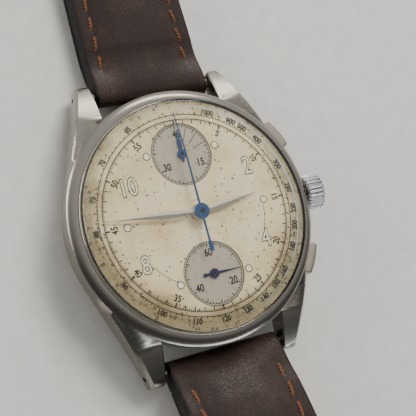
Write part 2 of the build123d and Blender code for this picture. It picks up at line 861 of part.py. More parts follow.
def make_escape_wheel():
    reach = hypot(escape_place[0], escape_place[1] + counter_place) - fourth_wheel_radius
    place = escape_place
    top = escape_wheel_level + escape_wheel_thickness
    body = gear(escape_teeth, escape_wheel_radius - 0.25, escape_wheel_level, top, place)
    for cut in windows(4, 1.15, 0.5, escape_wheel_level, top, place):
        body = body - cut
    body = body + gear(escape_pinion_teeth, reach - 0.04, 3.6, 4.2, place)
    return body + disc(arbor_radius, 2.7, 6.0, place)


def make_pallet_fork():
    low = pallet_level
    high = pallet_level + pallet_thickness
    ahead = atan2(balance_place[1] - pallet_place[1], balance_place[0] - pallet_place[0])
    toward = (pallet_place[0] + 1.9 * cos(ahead), pallet_place[1] + 1.9 * sin(ahead))
    body = arm(pallet_place, toward, 0.45, 0.2, low, high)
    for side in (1, -1):
        out = (pallet_place[0] - side * 1.1 * sin(ahead), pallet_place[1] + side * 1.1 * cos(ahead))
        body = body + arm(pallet_place, out, 0.3, 0.18, low, high)
    return body + disc(arbor_radius, 3.8, 6.0, pallet_place)


def make_balance_wheel():
    place = balance_place
    body = ring(balance_radius, balance_radius - 0.5, balance_low, balance_high, place)
    reach = balance_radius - 0.2
    spoke = block(-reach, reach, -0.3, 0.3, balance_low + 0.1, balance_high - 0.15)
    body = body + Pos(place[0], place[1], 0) * spoke
    for screw in range(10):
        angle = radians(18 + 36 * screw)
        reach = balance_radius - 0.25
        rim = (place[0] + reach * cos(angle), place[1] + reach * sin(angle))
        body = body + disc(0.2, balance_low - 0.15, balance_high + 0.15, rim)
    body = body + disc(0.7, 4.35, 4.6, place)
    return body + disc(arbor_radius, 1.6, 6.2, place)


def make_hairspring():
    return spiral(0.75, 0.36, 10, 0.06, 2.25, 2.5, balance_place)


def make_cannon_pinion():
    body = gear(cannon_teeth, cannon_gear_radius, 6.62, 6.8)
    body = body + disc(0.62, 6.8, 6.9) + disc(cannon_pipe, 6.9, minute_hand_height + 0.25)
    return body - through_hole(centre_pipe)


def make_minute_wheel():
    body = gear(minute_wheel_teeth, minute_wheel_radius - pinion_gap, 6.64, 6.78, minute_wheel_place, 2.0)
    body = body + gear(minute_pinion_teeth, minute_pinion_radius - 0.04, 6.78, 7.18, minute_wheel_place)
    return body - through_hole(minute_post_radius + running_gap, minute_wheel_place)


def make_hour_wheel():
    body = gear(hour_teeth, hour_wheel_radius, 6.95, 7.12)
    body = body + disc(hour_pipe, 6.95, hour_hand_height + 0.22)
    return body - through_hole(cannon_pipe + running_gap)


def make_column_wheel():
    body = gear(18, 1.15, 1.9, 2.3, column_wheel_place)
    for column in range(6):
        angle = radians(60 * column)
        post = (column_wheel_place[0] + 0.8 * cos(angle), column_wheel_place[1] + 0.8 * sin(angle))
        body = body + disc(0.25, 1.2, 1.9, post)
    return body + disc(0.8, 2.3, 3.3, column_wheel_place)


def make_coupling_lever():
    """Lever that swings the coupling wheel about the running seconds arbor."""
    low = coupling_lever_low
    high = coupling_lever_low + coupling_lever_thickness
    body = arm(fourth_place, coupling_place, 1.0, 0.5, low, high)
    body = body + arm(fourth_place, coupling_lever_tail, 0.8, 0.4, low, high)
    body = body + disc(coupling_post_radius, 1.6, low + 0.1, coupling_place)
    return body - through_hole(arbor_radius + running_gap, fourth_place)


def make_coupling_wheel():
    level = chronograph_level
    radius = coupling_wheel_radius - 0.04
    body = gear(coupling_teeth, radius, level, level + wheel_thickness, coupling_place, 90)
    return body - through_hole(coupling_post_radius + running_gap, coupling_place)


def heart_cam(place, size):
    top = cam_level + cam_thickness
    cam = disc(size * 0.5, cam_level, top, (-size * 0.3, 0))
    cam = cam + disc(size * 0.5, cam_level, top, (size * 0.3, 0))
    tail = [(-size * 0.75, -size * 0.2), (size * 0.75, -size * 0.2), (0, -size)]
    return Pos(place[0], place[1], 0) * (cam + polygon(tail, cam_level, top))


def make_chronograph_wheel():
    level = chronograph_level
    body = gear(drive_teeth, drive_wheel_radius, level, level + wheel_thickness, (0, 0), 3.0)
    for cut in windows(5, 1.7, 0.65, level, level + wheel_thickness):
        body = body - cut
    body = body + heart_cam((0, 0), 0.95) + disc(0.4, cam_level, 2.3)
    body = body + disc(arbor_radius, cam_level, chronograph_hand_height + 0.5)
    return body + disc(arbor_radius - 0.1, 0.9, 2)


def make_minute_recorder():
    level = chronograph_level
    body = gear(recorder_teeth, recorder_wheel_radius, level, level + wheel_thickness, recorder_place)
    body = body + heart_cam(recorder_place, 0.95) + disc(0.4, cam_level, 2.3, recorder_place)
    body = body + disc(arbor_radius, cam_level, small_arbor_top, recorder_place)
    return body + disc(arbor_radius - 0.1, 0.9, 2, recorder_place)


def make_reset_hammer():
    body = arm(hammer_place, (2.6, -1.5), 0.7, 0.45, cam_level, cam_level + cam_thickness)
    body = body + arm(hammer_place, (10.6, -6.9), 0.7, 0.4, cam_level, cam_level + cam_thickness)
    body = body + disc(0.35, 1.1, 2.45, hammer_place)
    return body


def make_movement_screws():
    screws = []
    for foot in barrel_pillars + train_pillars:
        head = disc(screw_head_radius, bridge_low - 0.35, bridge_low)
        slot = block(-screw_head_radius, screw_head_radius, -0.08, 0.08, bridge_low - 0.5, bridge_low - 0.2)
        screw = head - slot + disc(screw_radius, bridge_low, plate_low + screw_reach)
        screws.append(Pos(foot[0], foot[1], 0) * screw)
    head = disc(screw_head_radius, 1.05, 1.35, cock_foot)
    screws.append(head + disc(screw_radius, 1.35, plate_low + screw_reach, cock_foot))
    return Compound(children=screws)


# ================================================================ strap
def eased(share):
    """Smooth step from 0 to 1."""
    return share * share * (3 - 2 * share)


def strap_lift(run):
    """Height of the flat half's underside: it rests on the table, then on its keepers."""
    share = min(1, max(0, (run - strap_lift_start) / (strap_lift_end - strap_lift_start)))
    return (keeper_thickness + keeper_slack) * eased(share)


def strap_thickness(run):
    """Padded near the lugs, thin from the middle on."""
    if run <= strap_pad_start:
        share = run / strap_pad_start
        return 2 * strap_wrap_radius + (strap_full_thickness - 2 * strap_wrap_radius) * share
    if run >= strap_pad_end:
        return strap_thin_thickness
    share = (run - strap_pad_start) / (strap_pad_end - strap_pad_start)
    return strap_full_thickness + (strap_thin_thickness - strap_full_thickness) * eased(share)


def strap_half_width(run, length):
    share = min(1, run / (0.75 * length))
    return (strap_width + (strap_end_width - strap_width) * share) / 2


def buckle_path(run):
    """Point on the middle line and its slope, for the half that lies flat."""
    resting = strap_thickness(run) / 2 + strap_lift(run)
    share = min(1, run / strap_pad_start)
    height = bar_height + (resting - bar_height) * eased(share)
    return bar_place + run, height, 0.0


def holed_path(run):
    """Point on the middle line and its slope, for the half that arches down to its tip."""
    start = radians(arch_rise)
    slope = start - run / arch_radius
    y = bar_place + arch_radius * (sin(start) - sin(slope))
    height = bar_height + arch_radius * (cos(slope) - cos(start))
    return y, height, slope


def strap_edge(path, run, share):
    """Point across the strap's thickness: share -0.5 is the underside and 0.5 the top."""
    y, height, slope = path(run)
    reach = share * strap_thickness(run)
    return (y - reach * sin(slope), height + reach * cos(slope))


def strap_line(path, start, end, edge, stations=7):
    """Smooth side-view line along one edge of the strap, between two runs."""
    runs = [start + (end - start) * step / (stations - 1) for step in range(stations)]
    return Spline(*[(0, *edge(path, run)) for run in runs])


def slab(edges):
    """Side view drawn out wide enough for the plan outline to cut."""
    return extrude(make_face(edges), amount=strap_width, both=True)


def joined(first, second):
    """Close a side view between two lines drawn the same way along the strap."""
    return [first, second, Line(first @ 0, second @ 0), Line(first @ 1, second @ 1)]


def underside(path, run):
    return strap_edge(path, run, -0.5)


def lining_line(path, run):
    return strap_edge(path, run, -0.5 + lining_thickness / strap_thickness(run))


def top_side(path, run):
    return strap_edge(path, run, 0.5)


def strap_plan(path, length, pointed):
    """Plan outline of a strap half, tapering from the lugs."""
    stations = [-2, 0, 0.75 * length, length - (strap_point if pointed else 0)]
    right = []
    for run in stations:
        y = bar_place + run if run < 0 else path(run)[0]
        right.append((strap_half_width(max(0, run), length), y))
    tip_y = path(length)[0] + 0.6
    if pointed:
        right.append((strap_half_width(length, length) * 0.72, path(length - strap_point * 0.42)[0]))
        right.append((strap_point_width / 2 * 0.6, tip_y - 0.5))
        right.append((0, tip_y))
        edge = [Polyline(*right[:4]), Spline(*right[3:], tangents=[(0, 1), (-1, 0)])]
        other = [mirror(piece, Plane.YZ) for piece in edge]
        base = Line((-right[0][0], right[0][1]), (right[0][0], right[0][1]))
        return plate(edge + other + [base], -20, 40)
    right.append((right[-1][0], tip_y))
    left = [(-x, y) for x, y in reversed(right)]
    return polygon(right + left, -20, 40)


def bar_wrap(path):
    """Nose of the strap round its spring bar, from the top side to the underside."""
    y, height, slope = path(0)
    nose = (0, y - strap_wrap_radius * cos(slope), height - strap_wrap_radius * sin(slope))
    return ThreePointArc((0, *top_side(path, 0)), nose, (0, *underside(path, 0)))


def make_strap_half(path, length, flex, pointed):
    """Four solids: inner and outer segments, each with its leather and its lining."""
    plan = strap_plan(path, length, pointed)
    half_gap = segment_gap / 2
    pieces = {}
    end = flex - half_gap
    seam = strap_line(path, lining_start, end, lining_line)
    under = strap_line(path, lining_start, end, underside)
    top = strap_line(path, 0, end, top_side)
    nose = bar_wrap(path)
    wrapped = strap_line(path, 0, lining_start, underside, 4)
    step = Line(wrapped @ 1, seam @ 0)
    leather = slab([top, nose, wrapped, step, seam, Line(seam @ 1, top @ 1)])
    bore = rod_along_x(bar_radius + strap_bar_gap, -strap_width, strap_width, bar_height, bar_place)
    pieces["inner"] = (leather & plan) - bore
    pieces["inner_lining"] = slab(joined(under, seam)) & plan
    start = flex + half_gap
    seam = strap_line(path, start, length, lining_line)
    pieces["outer"] = slab(joined(seam, strap_line(path, start, length, top_side))) & plan
    pieces["outer_lining"] = slab(joined(strap_line(path, start, length, underside), seam)) & plan
    return pieces


def make_buckle_half():
    pieces = make_strap_half(buckle_path, buckle_half_length, buckle_half_flex, False)
    y = bar_place + buckle_half_length
    loop = rod_along_x(buckle_loop_radius, -strap_end_width / 2, strap_end_width / 2, buckle_bar_height, y)
    bore = rod_along_x(buckle_bar_radius + strap_bar_gap, -20, 20, buckle_bar_height, y)
    slot = block(-tongue_slot / 2, tongue_slot / 2, y - 5.5, y + 5, -1, 9)
    pieces["outer"] = pieces["outer"] + loop - bore - slot
    pieces["outer_lining"] = pieces["outer_lining"] - disc(3.2, -1, 9, (0, y)) - bore - slot
    pieces["outer_lining"] = pieces["outer_lining"] - block(-20, 20, y - 3.5, y + 5, -1, 9)
    return pieces


def make_holed_half():
    pieces = make_strap_half(holed_path, holed_half_length, holed_half_flex, True)
    for number in range(hole_count):
        y, height, slope = holed_path(hole_start + number * hole_pitch)
        punch = Pos(0, y, height) * Rot(degrees(slope), 0, 0) * Cylinder(hole_radius, 8)
        pieces["outer"] = pieces["outer"] - punch
        pieces["outer_lining"] = pieces["outer_lining"] - punch
    return {name: mirror(piece, Plane.XZ) for name, piece in pieces.items()}


def make_keeper(place):
    """Flat leather loop round both layers of the closed strap."""
    y = bar_place + place
    inner = strap_end_width / 2 + keeper_side_gap
    outer = inner + keeper_thickness
    top = keeper_thickness + keeper_inner_height
    loop = block(-outer, outer, y, y + keeper_length, 0, top + keeper_thickness)
    loop = fillet(loop.edges().filter_by(Axis.Y), keeper_thickness)
    hole = block(-inner, inner, y - 1, y + keeper_length + 1, keeper_thickness, top)
    return loop - fillet(hole.edges().filter_by(Axis.Y), keeper_thickness / 2)


# ================================================================ buckle
def make_buckle_frame():
    y = bar_place + buckle_half_length
    half = buckle_gap_width / 2
    outer = half + buckle_wire
    far = y + buckle_length
    low = buckle_bar_height - buckle_wire / 2
    high = buckle_bar_height + buckle_wire / 2
    body = block(-outer, outer, y - 1.6, far, low, high)
    body = fillet(body.edges().filter_by(Axis.Z).group_by(Axis.Y)[-1], buckle_corner)
    body = body - block(-half, half, y - 3, far - buckle_wire, -1, 9)
    body = fillet(body.edges().filter_by(GeomType.LINE).filter_by(Axis.Y), 0.5)
    return body - rod_along_x(buckle_bar_radius * 0.7, -outer + 0.6, outer - 0.6, buckle_bar_height, y)


def make_buckle_bar():
    y = bar_place + buckle_half_length
    half = buckle_gap_width / 2
    bar = rod_along_x(buckle_bar_radius, -half + 0.08, half - 0.08, buckle_bar_height, y)
    return bar + rod_along_x(buckle_bar_radius * 0.7, -half - 1.2, half + 1.2, buckle_bar_height, y)


def make_buckle_tongue():
    y = bar_place + buckle_half_length
    far = y + buckle_length
    low = buckle_bar_height + buckle_wire / 2 + 0.05
    curl = rod_along_x(buckle_bar_radius + 0.75, -tongue_width / 2, tongue_width / 2, buckle_bar_height, y)
    top = low + tongue_thickness
    tip = far + 0.2
    shape = [(0, y, low), (0, tip, low), (0, tip, top - tongue_thickness * 0.2), (0, y, top)]
    blade = extrude(make_face(Polyline(*shape, close=True)), amount=tongue_width / 2, both=True)
    neck = block(-tongue_width / 2, tongue_width / 2, y - 0.4, y + 0.9, buckle_bar_height, top)
    bore = rod_along_x(buckle_bar_radius + running_gap, -5, 5, buckle_bar_height, y)
    return curl + neck + blade - bore


# ================================================================ build
def build_all():
    nodes = {
        "case_middle": make_case_middle(),
        "bezel": make_bezel(),
        "crystal": make_crystal(),
        "case_back": make_case_back(),
        "case_back_gasket": make_gasket(),
        "spring_bars": make_spring_bars(),
        "crown": make_crown(),
        "crown_gasket": make_crown_gasket(),
        "crown_tube": make_crown_tube(),
        "winding_stem": make_stem(),
        "winding_pinion": make_winding_pinion(),
        "start_pusher": make_pusher(1),
        "reset_pusher": make_pusher(-1),
        "pusher_tubes": make_pusher_tubes(),
        "dial": make_dial(),
        "hour_hand": make_hour_hand(),
        "minute_hand": make_minute_hand(),
        "chronograph_hand": make_chronograph_hand(),
        "minute_counter_hand": make_small_hand(3.5, 1.1, 0.6, counter_clock, recorder_place),
        "small_seconds_hand": make_small_hand(4.0, 1.35, 0.3, seconds_clock, fourth_place),
        "main_plate": make_main_plate(),
        "barrel_bridge": make_barrel_bridge(),
        "train_bridge": make_train_bridge(),
        "balance_cock": make_balance_cock(),
        "pallet_bridge": make_pallet_bridge(),
        "chronograph_bridge": make_chronograph_bridge(),
        "barrel": make_barrel(),
        "mainspring": make_mainspring(),
        "ratchet_wheel": make_ratchet_wheel(),
        "crown_wheel": make_crown_wheel(),
        "centre_wheel": make_centre_wheel(),
        "third_wheel": make_third_wheel(),
        "fourth_wheel": make_fourth_wheel(),
        "escape_wheel": make_escape_wheel(),
        "pallet_fork": make_pallet_fork(),
        "balance_wheel": make_balance_wheel(),
        "hairspring": make_hairspring(),
        "cannon_pinion": make_cannon_pinion(),
        "minute_wheel": make_minute_wheel(),
        "hour_wheel": make_hour_wheel(),
        "column_wheel": make_column_wheel(),
        "coupling_lever": make_coupling_lever(),
        "coupling_wheel": make_coupling_wheel(),
        "chronograph_wheel": make_chronograph_wheel(),
        "minute_recorder": make_minute_recorder(),
        "reset_hammer": make_reset_hammer(),
        "movement_screws": make_movement_screws(),
        "fixed_keeper": make_keeper(fixed_keeper_place),
        "sliding_keeper": make_keeper(sliding_keeper_place),
        "buckle_frame": make_buckle_frame(),
        "buckle_bar": make_buckle_bar(),
        "buckle_tongue": make_buckle_tongue(),
    }
    for name, piece in make_buckle_half().items():
        nodes["buckle_strap_" + name] = piece
    for name, piece in make_holed_half().items():
        nodes["holed_strap_" + name] = piece
    return nodes


os.makedirs("parts", exist_ok=True)
for node_name, node_shape in build_all().items():
    save(node_shape, node_name)
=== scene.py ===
import math

import bmesh
import bpy
from mathutils import Matrix, Vector


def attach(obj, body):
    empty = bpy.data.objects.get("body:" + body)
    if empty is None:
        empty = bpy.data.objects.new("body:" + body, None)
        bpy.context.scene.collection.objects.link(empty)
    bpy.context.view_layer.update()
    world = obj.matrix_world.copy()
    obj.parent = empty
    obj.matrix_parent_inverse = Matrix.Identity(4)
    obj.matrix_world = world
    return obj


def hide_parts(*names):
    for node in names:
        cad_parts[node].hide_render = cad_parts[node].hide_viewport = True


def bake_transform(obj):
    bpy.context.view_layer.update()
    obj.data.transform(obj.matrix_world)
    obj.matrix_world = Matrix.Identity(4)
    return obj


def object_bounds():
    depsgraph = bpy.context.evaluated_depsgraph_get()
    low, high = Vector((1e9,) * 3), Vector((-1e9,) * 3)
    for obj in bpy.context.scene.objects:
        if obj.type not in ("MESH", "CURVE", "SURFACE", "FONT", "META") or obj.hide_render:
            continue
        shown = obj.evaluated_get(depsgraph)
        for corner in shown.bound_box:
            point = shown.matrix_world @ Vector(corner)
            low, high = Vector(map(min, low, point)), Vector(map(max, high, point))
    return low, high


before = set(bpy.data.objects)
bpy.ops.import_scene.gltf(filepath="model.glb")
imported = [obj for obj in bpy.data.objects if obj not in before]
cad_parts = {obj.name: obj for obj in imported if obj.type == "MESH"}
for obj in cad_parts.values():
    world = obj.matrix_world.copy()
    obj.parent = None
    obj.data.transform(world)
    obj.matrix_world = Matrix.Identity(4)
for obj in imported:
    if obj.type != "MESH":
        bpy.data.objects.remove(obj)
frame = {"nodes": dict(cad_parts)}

nodes = frame["nodes"]
cadLow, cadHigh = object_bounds()
mm = 0.001
print("frame loaded,", len(nodes), "nodes")


# ---- node trees: sums are written as Python sums, any other node comes from board.node
class Wire:
    def __init__(self, board, socket):
        self.board = board
        self.socket = socket

    def maths(self, operation, *others):
        return self.board.node("ShaderNodeMath", {"operation": operation}, dict(enumerate((self, *others))))

    def swapped(self, operation, first):
        return self.board.node("ShaderNodeMath", {"operation": operation}, {0: first, 1: self})

    def __add__(self, other):
        return self.maths("ADD", other)

    def __sub__(self, other):
        return self.maths("SUBTRACT", other)

    def __mul__(self, other):
        return self.maths("MULTIPLY", other)

    def __truediv__(self, other):
        return self.maths("DIVIDE", other)

    def __pow__(self, other):
        return self.maths("POWER", other)

    def __radd__(self, other):
        return self.swapped("ADD", other)

    def __rsub__(self, other):
        return self.swapped("SUBTRACT", other)

    def __rmul__(self, other):
        return self.swapped("MULTIPLY", other)

    def below(self, limit):
        return self.maths("LESS_THAN", limit)


class Board:
    def __init__(self, tree):
        self.tree = tree
        tree.nodes.clear()

    def feed(self, socket, value):
        if isinstance(value, Wire):
            self.tree.links.new(value.socket, socket)
        else:
            socket.default_value = value

    def split(self, vector):
        axes = self.tree.nodes.new("ShaderNodeSeparateXYZ")
        self.tree.links.new(vector.socket, axes.inputs[0])
        return [Wire(self, socket) for socket in axes.outputs]

    def join(self, parts):
        return self.node("ShaderNodeCombineXYZ", None, parts)

    def node(self, kind, settings=None, values=None, output=0):
        made = self.tree.nodes.new(kind)
        for key, value in (settings or {}).items():
            setattr(made, key, value)
        for key, value in (values or {}).items():
            self.feed(made.inputs[key], value)
        return Wire(self, made.outputs[output])

    def ramp(self, value, low, high):  # smooth step from 0 at low to 1 at high
        settings = {"interpolation_type": "SMOOTHSTEP"}
        return self.node("ShaderNodeMapRange", settings, {"Value": value, "From Min": low, "From Max": high})

    def mix(self, factor, first, second):
        values = {0: factor, 6: first, 7: second}
        return self.node("ShaderNodeMix", {"data_type": "RGBA"}, values, output=2)

    def noise(self, place, scale, detail=3.0, roughness=0.5):
        values = {"Vector": place, "Scale": scale, "Detail": detail, "Roughness": roughness}
        return self.node("ShaderNodeTexNoise", None, values)


# ---- finishes
def rgb(red, green, blue):  # screen colour to the shader's linear colour
    linear = [((v / 255 + 0.055) / 1.055) ** 2.4 if v > 10 else v / 255 / 12.92 for v in (red, green, blue)]
    return (*linear, 1)


def darker(colour, share):
    return (*(share * part for part in colour[:3]), 1)


def newFinish(name):
    material = bpy.data.materials.new(name)
    material.use_nodes = True
    board = Board(material.node_tree)
    place = board.node("ShaderNodeTexCoord", None, None, output=3)  # object coordinates, in metres
    return material, board, place


def finishOff(board, values):
    shader = board.node("ShaderNodeBsdfPrincipled", None, values)
    output = board.tree.nodes.new("ShaderNodeOutputMaterial")
    board.tree.links.new(shader.socket, output.inputs["Surface"])


def bumped(board, height, strength, distance):
    values = {"Height": height, "Strength": strength, "Distance": distance}
    return board.node("ShaderNodeBump", None, values)


metalWear = {"smearScale": 300, "hairScale": 4200, "hairShare": 0.4, "dark": 0.86, "bump": 0.12, "depth": 0.00004}


def makeMetal(name, colour, roughness, wear):
    look = metalWear
    material, board, place = newFinish(name)
    smears = board.noise(place, look["smearScale"], 4)
    hairs = board.noise(place, look["hairScale"], 2)
    finishOff(board, {
        "Base Color": board.mix(smears, colour, darker(colour, look["dark"])),
        "Metallic": 1.0,
        "Roughness": roughness + wear * smears + look["hairShare"] * wear * hairs,
        "Normal": bumped(board, smears, look["bump"], look["depth"]),
    })
    return material


metalLooks = {  # colour, roughness and how much the roughness varies
    "caseSteel": (rgb(168, 163, 153), 0.20, 0.10),
    "bezelSteel": (rgb(164, 158, 149), 0.17, 0.08),
    # rimSteel's lighter colour is a painted highlight on the bezel's polished rim
    "rimSteel": (rgb(196, 190, 178), 0.12, 0.05),
    "pusherSteel": (rgb(206, 196, 180), 0.26, 0.08),
    "crownChrome": (rgb(226, 226, 228), 0.07, 0.04),
    "handSilver": (rgb(250, 244, 232), 0.24, 0.06),
    "handBlue": (rgb(48, 98, 156), 0.26, 0.05),
    "handViolet": (rgb(52, 46, 104), 0.28, 0.05),
    "plateNickel": (rgb(190, 186, 172), 0.30, 0.10),
    "wheelBrass": (rgb(202, 168, 98), 0.28, 0.08),
    "workSteel": (rgb(168, 168, 168), 0.22, 0.06),
    "springBlue": (rgb(40, 66, 130), 0.25, 0.05),
    "pinBrass": (rgb(58, 46, 40), 0.45, 0.10),
}
metals = {name: makeMetal(name, *look) for name, look in metalLooks.items()}


crystalLook = {"glass": (0.985, 0.985, 0.97, 1), "clear": (0.98, 0.98, 0.97, 1), "bending": 1.49}


def makeCrystal():
    material, board, _ = newFinish("crystalClear")
    values = {"Color": crystalLook["glass"], "Roughness": 0.0, "IOR": crystalLook["bending"]}
    glass = board.node("ShaderNodeBsdfGlass", None, values)
    clear = board.node("ShaderNodeBsdfTransparent", None, {"Color": crystalLook["clear"]})
    lamp = board.node("ShaderNodeLightPath", None, None, output=1)  # lamps shine through
    both = board.node("ShaderNodeMixShader", None, {0: lamp, 1: glass, 2: clear})
    output = board.tree.nodes.new("ShaderNodeOutputMaterial")
    board.tree.links.new(both.socket, output.inputs["Surface"])
    return material


dialLook = {  # lengths in mm from the dial's centre, scales per metre
    "cream": rgb(229, 214, 178),
    "warm": rgb(205, 184, 138),
    # rim: colour of the dial's darker rim, partly patina and partly painted shade from the bezel
    "rim": rgb(104, 94, 62),
    "speck": rgb(62, 48, 34),
    "counter": rgb(184, 176, 160),
    "counterPlace": 8.45,
    "counterRadius": 4.42,
    "ringsPerMm": 5.0,
    "rimStart": 14.6,
    "rimEnd": 18.0,
    "rimWander": 4.5,
    "lowerRim": 0.07,
    "cloudScale": 160,
    "grimeScale": 900,
    "speckScale": 1700,
    "speckSize": 0.3,
}


def makeDialFinish():
    look = dialLook
    material, board, place = newFinish("dialSilver")
    x, y = (axis / mm for axis in board.split(place)[:2])
    radius = (x * x + y * y) ** 0.5
    fromCounter = y.maths("ABSOLUTE") - look["counterPlace"]
    counterRadius = (x * x + fromCounter * fromCounter) ** 0.5
    inCounter = counterRadius.below(look["counterRadius"])
    cloud = board.noise(place, look["cloudScale"], 4, 0.6)
    grime = board.noise(place, look["grimeScale"], 5, 0.7)
    wander = look["rimWander"] * cloud - look["lowerRim"] * y  # the rim is darker towards the bottom
    # the rim's darkening is partly patina and partly painted shade cast by the bezel
    edge = board.ramp(radius + wander, look["rimStart"], look["rimEnd"])
    face = board.mix(board.ramp(cloud, 0.35, 0.75), look["cream"], look["warm"])
    face = board.mix(edge * (0.5 + 0.6 * grime), face, look["rim"])
    values = {"Vector": place, "Scale": look["speckScale"]}
    dots = board.node("ShaderNodeTexVoronoi", None, values, output=0)
    chance = board.node("ShaderNodeTexVoronoi", None, values, output=1)
    size = board.node("ShaderNodeSeparateColor", None, {0: chance})
    spots = dots.below(look["speckSize"] * size ** 1.4 + 0.16 * edge)
    face = board.mix(spots * 0.8, face, look["speck"])
    rings = (counterRadius * (math.tau * look["ringsPerMm"])).maths("SINE")
    grey = board.mix(0.5 + 0.5 * rings, look["counter"], darker(look["counter"], 0.86))
    grey = board.mix(board.ramp(grime, 0.55, 0.8) * 0.5, grey, look["warm"])
    grey = board.mix(spots * 0.4, grey, look["speck"])
    finishOff(board, {
        "Base Color": board.mix(inCounter, face, grey),
        "Roughness": 0.52 - 0.14 * inCounter,
        "Metallic": 0.22 * inCounter + 0.08,
        "Normal": bumped(board, grime * 0.5 + rings * inCounter * 0.3, 0.25, 0.00002),
    })
    return material


def makePlain(name, colour, roughness, metallic=0.0, grain=0.08, scale=2500):
    material, board, place = newFinish(name)
    grains = board.noise(place, scale, 3)
    finishOff(board, {
        "Base Color": board.mix(grains, colour, darker(colour, 0.78)),
        "Metallic": metallic,
        "Roughness": roughness,
        "Normal": bumped(board, grains, grain, 0.00003),
    })
    return material


leatherLook = {
    "brown": rgb(47, 35, 32),
    "worn": rgb(71, 55, 50),
    "dark": rgb(32, 24, 22),
    "paint": rgb(10, 9, 10),
    "pebble": 2100,
    "wander": 900,
    "wanderBy": 0.0005,
    "blotch": 140,
    "fine": 5200,
    "roughness": 0.34,
    "shine": 0.3,
    "bump": 0.3,
    "depth": 0.00003,
}


def makeLeather(name, look):
    material, board, place = newFinish(name)
    edge = board.node("ShaderNodeAttribute", {"attribute_name": "paint"}, None, output=2)  # painted edges
    bent = board.node("ShaderNodeVectorMath", {"operation": "MULTIPLY_ADD"}, {
        0: board.node("ShaderNodeTexNoise", None, {"Vector": place, "Scale": look["wander"]}, output=1),
        1: (look["wanderBy"],) * 3,
        2: place,
    })
    values = {"Vector": bent, "Scale": look["pebble"]}
    cells = board.node("ShaderNodeTexVoronoi", {"feature": "DISTANCE_TO_EDGE"}, values)
    creases = board.ramp(cells, 0.0, 0.3)
    blotch = board.noise(place, look["blotch"], 5, 0.6)
    fine = board.noise(place, look["fine"], 3)
    skin = board.mix(board.ramp(blotch, 0.42, 0.78), look["brown"], look["worn"])
    # painted shade: the grain's creases are darkened towards the dark colour
    skin = board.mix(0.6 - 0.5 * creases, skin, look["dark"])
    flat = 1 - edge
    finishOff(board, {
        "Base Color": board.mix(edge, skin, look["paint"]),
        "Roughness": look["roughness"] + 0.16 * blotch - 0.12 * creases + 0.2 * edge,
        "Normal": bumped(board, (creases + 0.5 * fine) * flat + 0.2 * fine * edge, look["bump"], look["depth"]),
        "Specular IOR Level": look["shine"],
    })
    return material


leather = makeLeather("strapLeather", leatherLook)
liningLook = {**leatherLook, "brown": rgb(150, 112, 80), "worn": rgb(168, 130, 96), "dark": rgb(112, 80, 56),
              "pebble": 3200}
liningLeather = makeLeather("liningLeather", liningLook)
dialFinish = makeDialFinish()
crystalFinish = makeCrystal()
printInk = makePlain("printInk", rgb(24, 20, 17), 0.6)
fadedInk = makePlain("fadedInk", rgb(84, 74, 56), 0.6)
lumePaint = makePlain("lumePaint", rgb(236, 231, 203), 0.75, grain=0.3)
threadLook = makePlain("rustThread", rgb(122, 80, 54), 0.85, grain=0.5, scale=6000)
sealRubber = makePlain("sealRubber", rgb(22, 22, 22), 0.6)
print("finishes made")

nodeFinish = {
    "caseSteel": ["case_middle", "case_back", "crown_tube", "pusher_tubes", "spring_bars", "start_pusher",
                  "reset_pusher", "buckle_frame", "buckle_bar", "buckle_tongue"],
    "bezelSteel": ["bezel"],
    "crownChrome": ["crown"],
    "plateNickel": ["main_plate", "barrel_bridge", "train_bridge", "balance_cock", "pallet_bridge",
                    "chronograph_bridge"],
    "wheelBrass": ["centre_wheel", "third_wheel", "fourth_wheel", "hour_wheel", "minute_wheel", "barrel",
                   "balance_wheel", "chronograph_wheel", "minute_recorder", "coupling_wheel"],
    "workSteel": ["escape_wheel", "pallet_fork", "cannon_pinion", "ratchet_wheel", "crown_wheel",
                  "winding_stem", "winding_pinion", "coupling_lever", "column_wheel", "reset_hammer",
                  "mainspring"],
    "springBlue": ["hairspring", "movement_screws"],
    "handSilver": ["hour_hand", "minute_hand"],
    "handBlue": ["chronograph_hand", "minute_counter_hand"],
    "handViolet": ["small_seconds_hand"],
}


def dress(piece, material):
    piece.data.materials.clear()
    piece.data.materials.append(material)


for node in nodes.values():
    dress(node, sealRubber if "gasket" in node.name else liningLeather if "lining" in node.name else leather)
for metal, names in nodeFinish.items():
    for name in names:
        dress(nodes[name], metals[metal])
dress(nodes["dial"], dialFinish)
dress(nodes["crystal"], crystalFinish)


# ---- mesh helpers, all in millimetres until the piece is made
def newPiece(name, work, material, body=None, slot=None, instead=(), smooth=40.0):
    bmesh.ops.remove_doubles(work, verts=work.verts, dist=0.0005)
    bmesh.ops.recalc_face_normals(work, faces=work.faces)
    mesh = bpy.data.meshes.new(name)
    work.to_mesh(mesh)
    work.free()
    mesh.transform(Matrix.Scale(mm, 4))
    mesh.shade_smooth()
    mesh.set_sharp_from_angle(angle=math.radians(smooth))
    return settle(name, mesh, material, body, slot, instead)


def settle(name, mesh, material, body=None, slot=None, instead=()):
    piece = bpy.data.objects.new(name, mesh)
    bpy.context.scene.collection.objects.link(piece)
    if material:
        dress(piece, material)
    if body:
        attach(piece, body)
    if instead:
        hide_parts(*instead)
    return piece


def smoothCopy(node, name, material, body, slot, angle=28.0):  # the node's own shape, merged and smooth shaded
    work = bmesh.new()
    work.from_mesh(nodes[node].data)
    bmesh.ops.scale(work, vec=(1 / mm,) * 3, verts=work.verts)
    return newPiece(name, work, material, body, slot, (node,), angle)


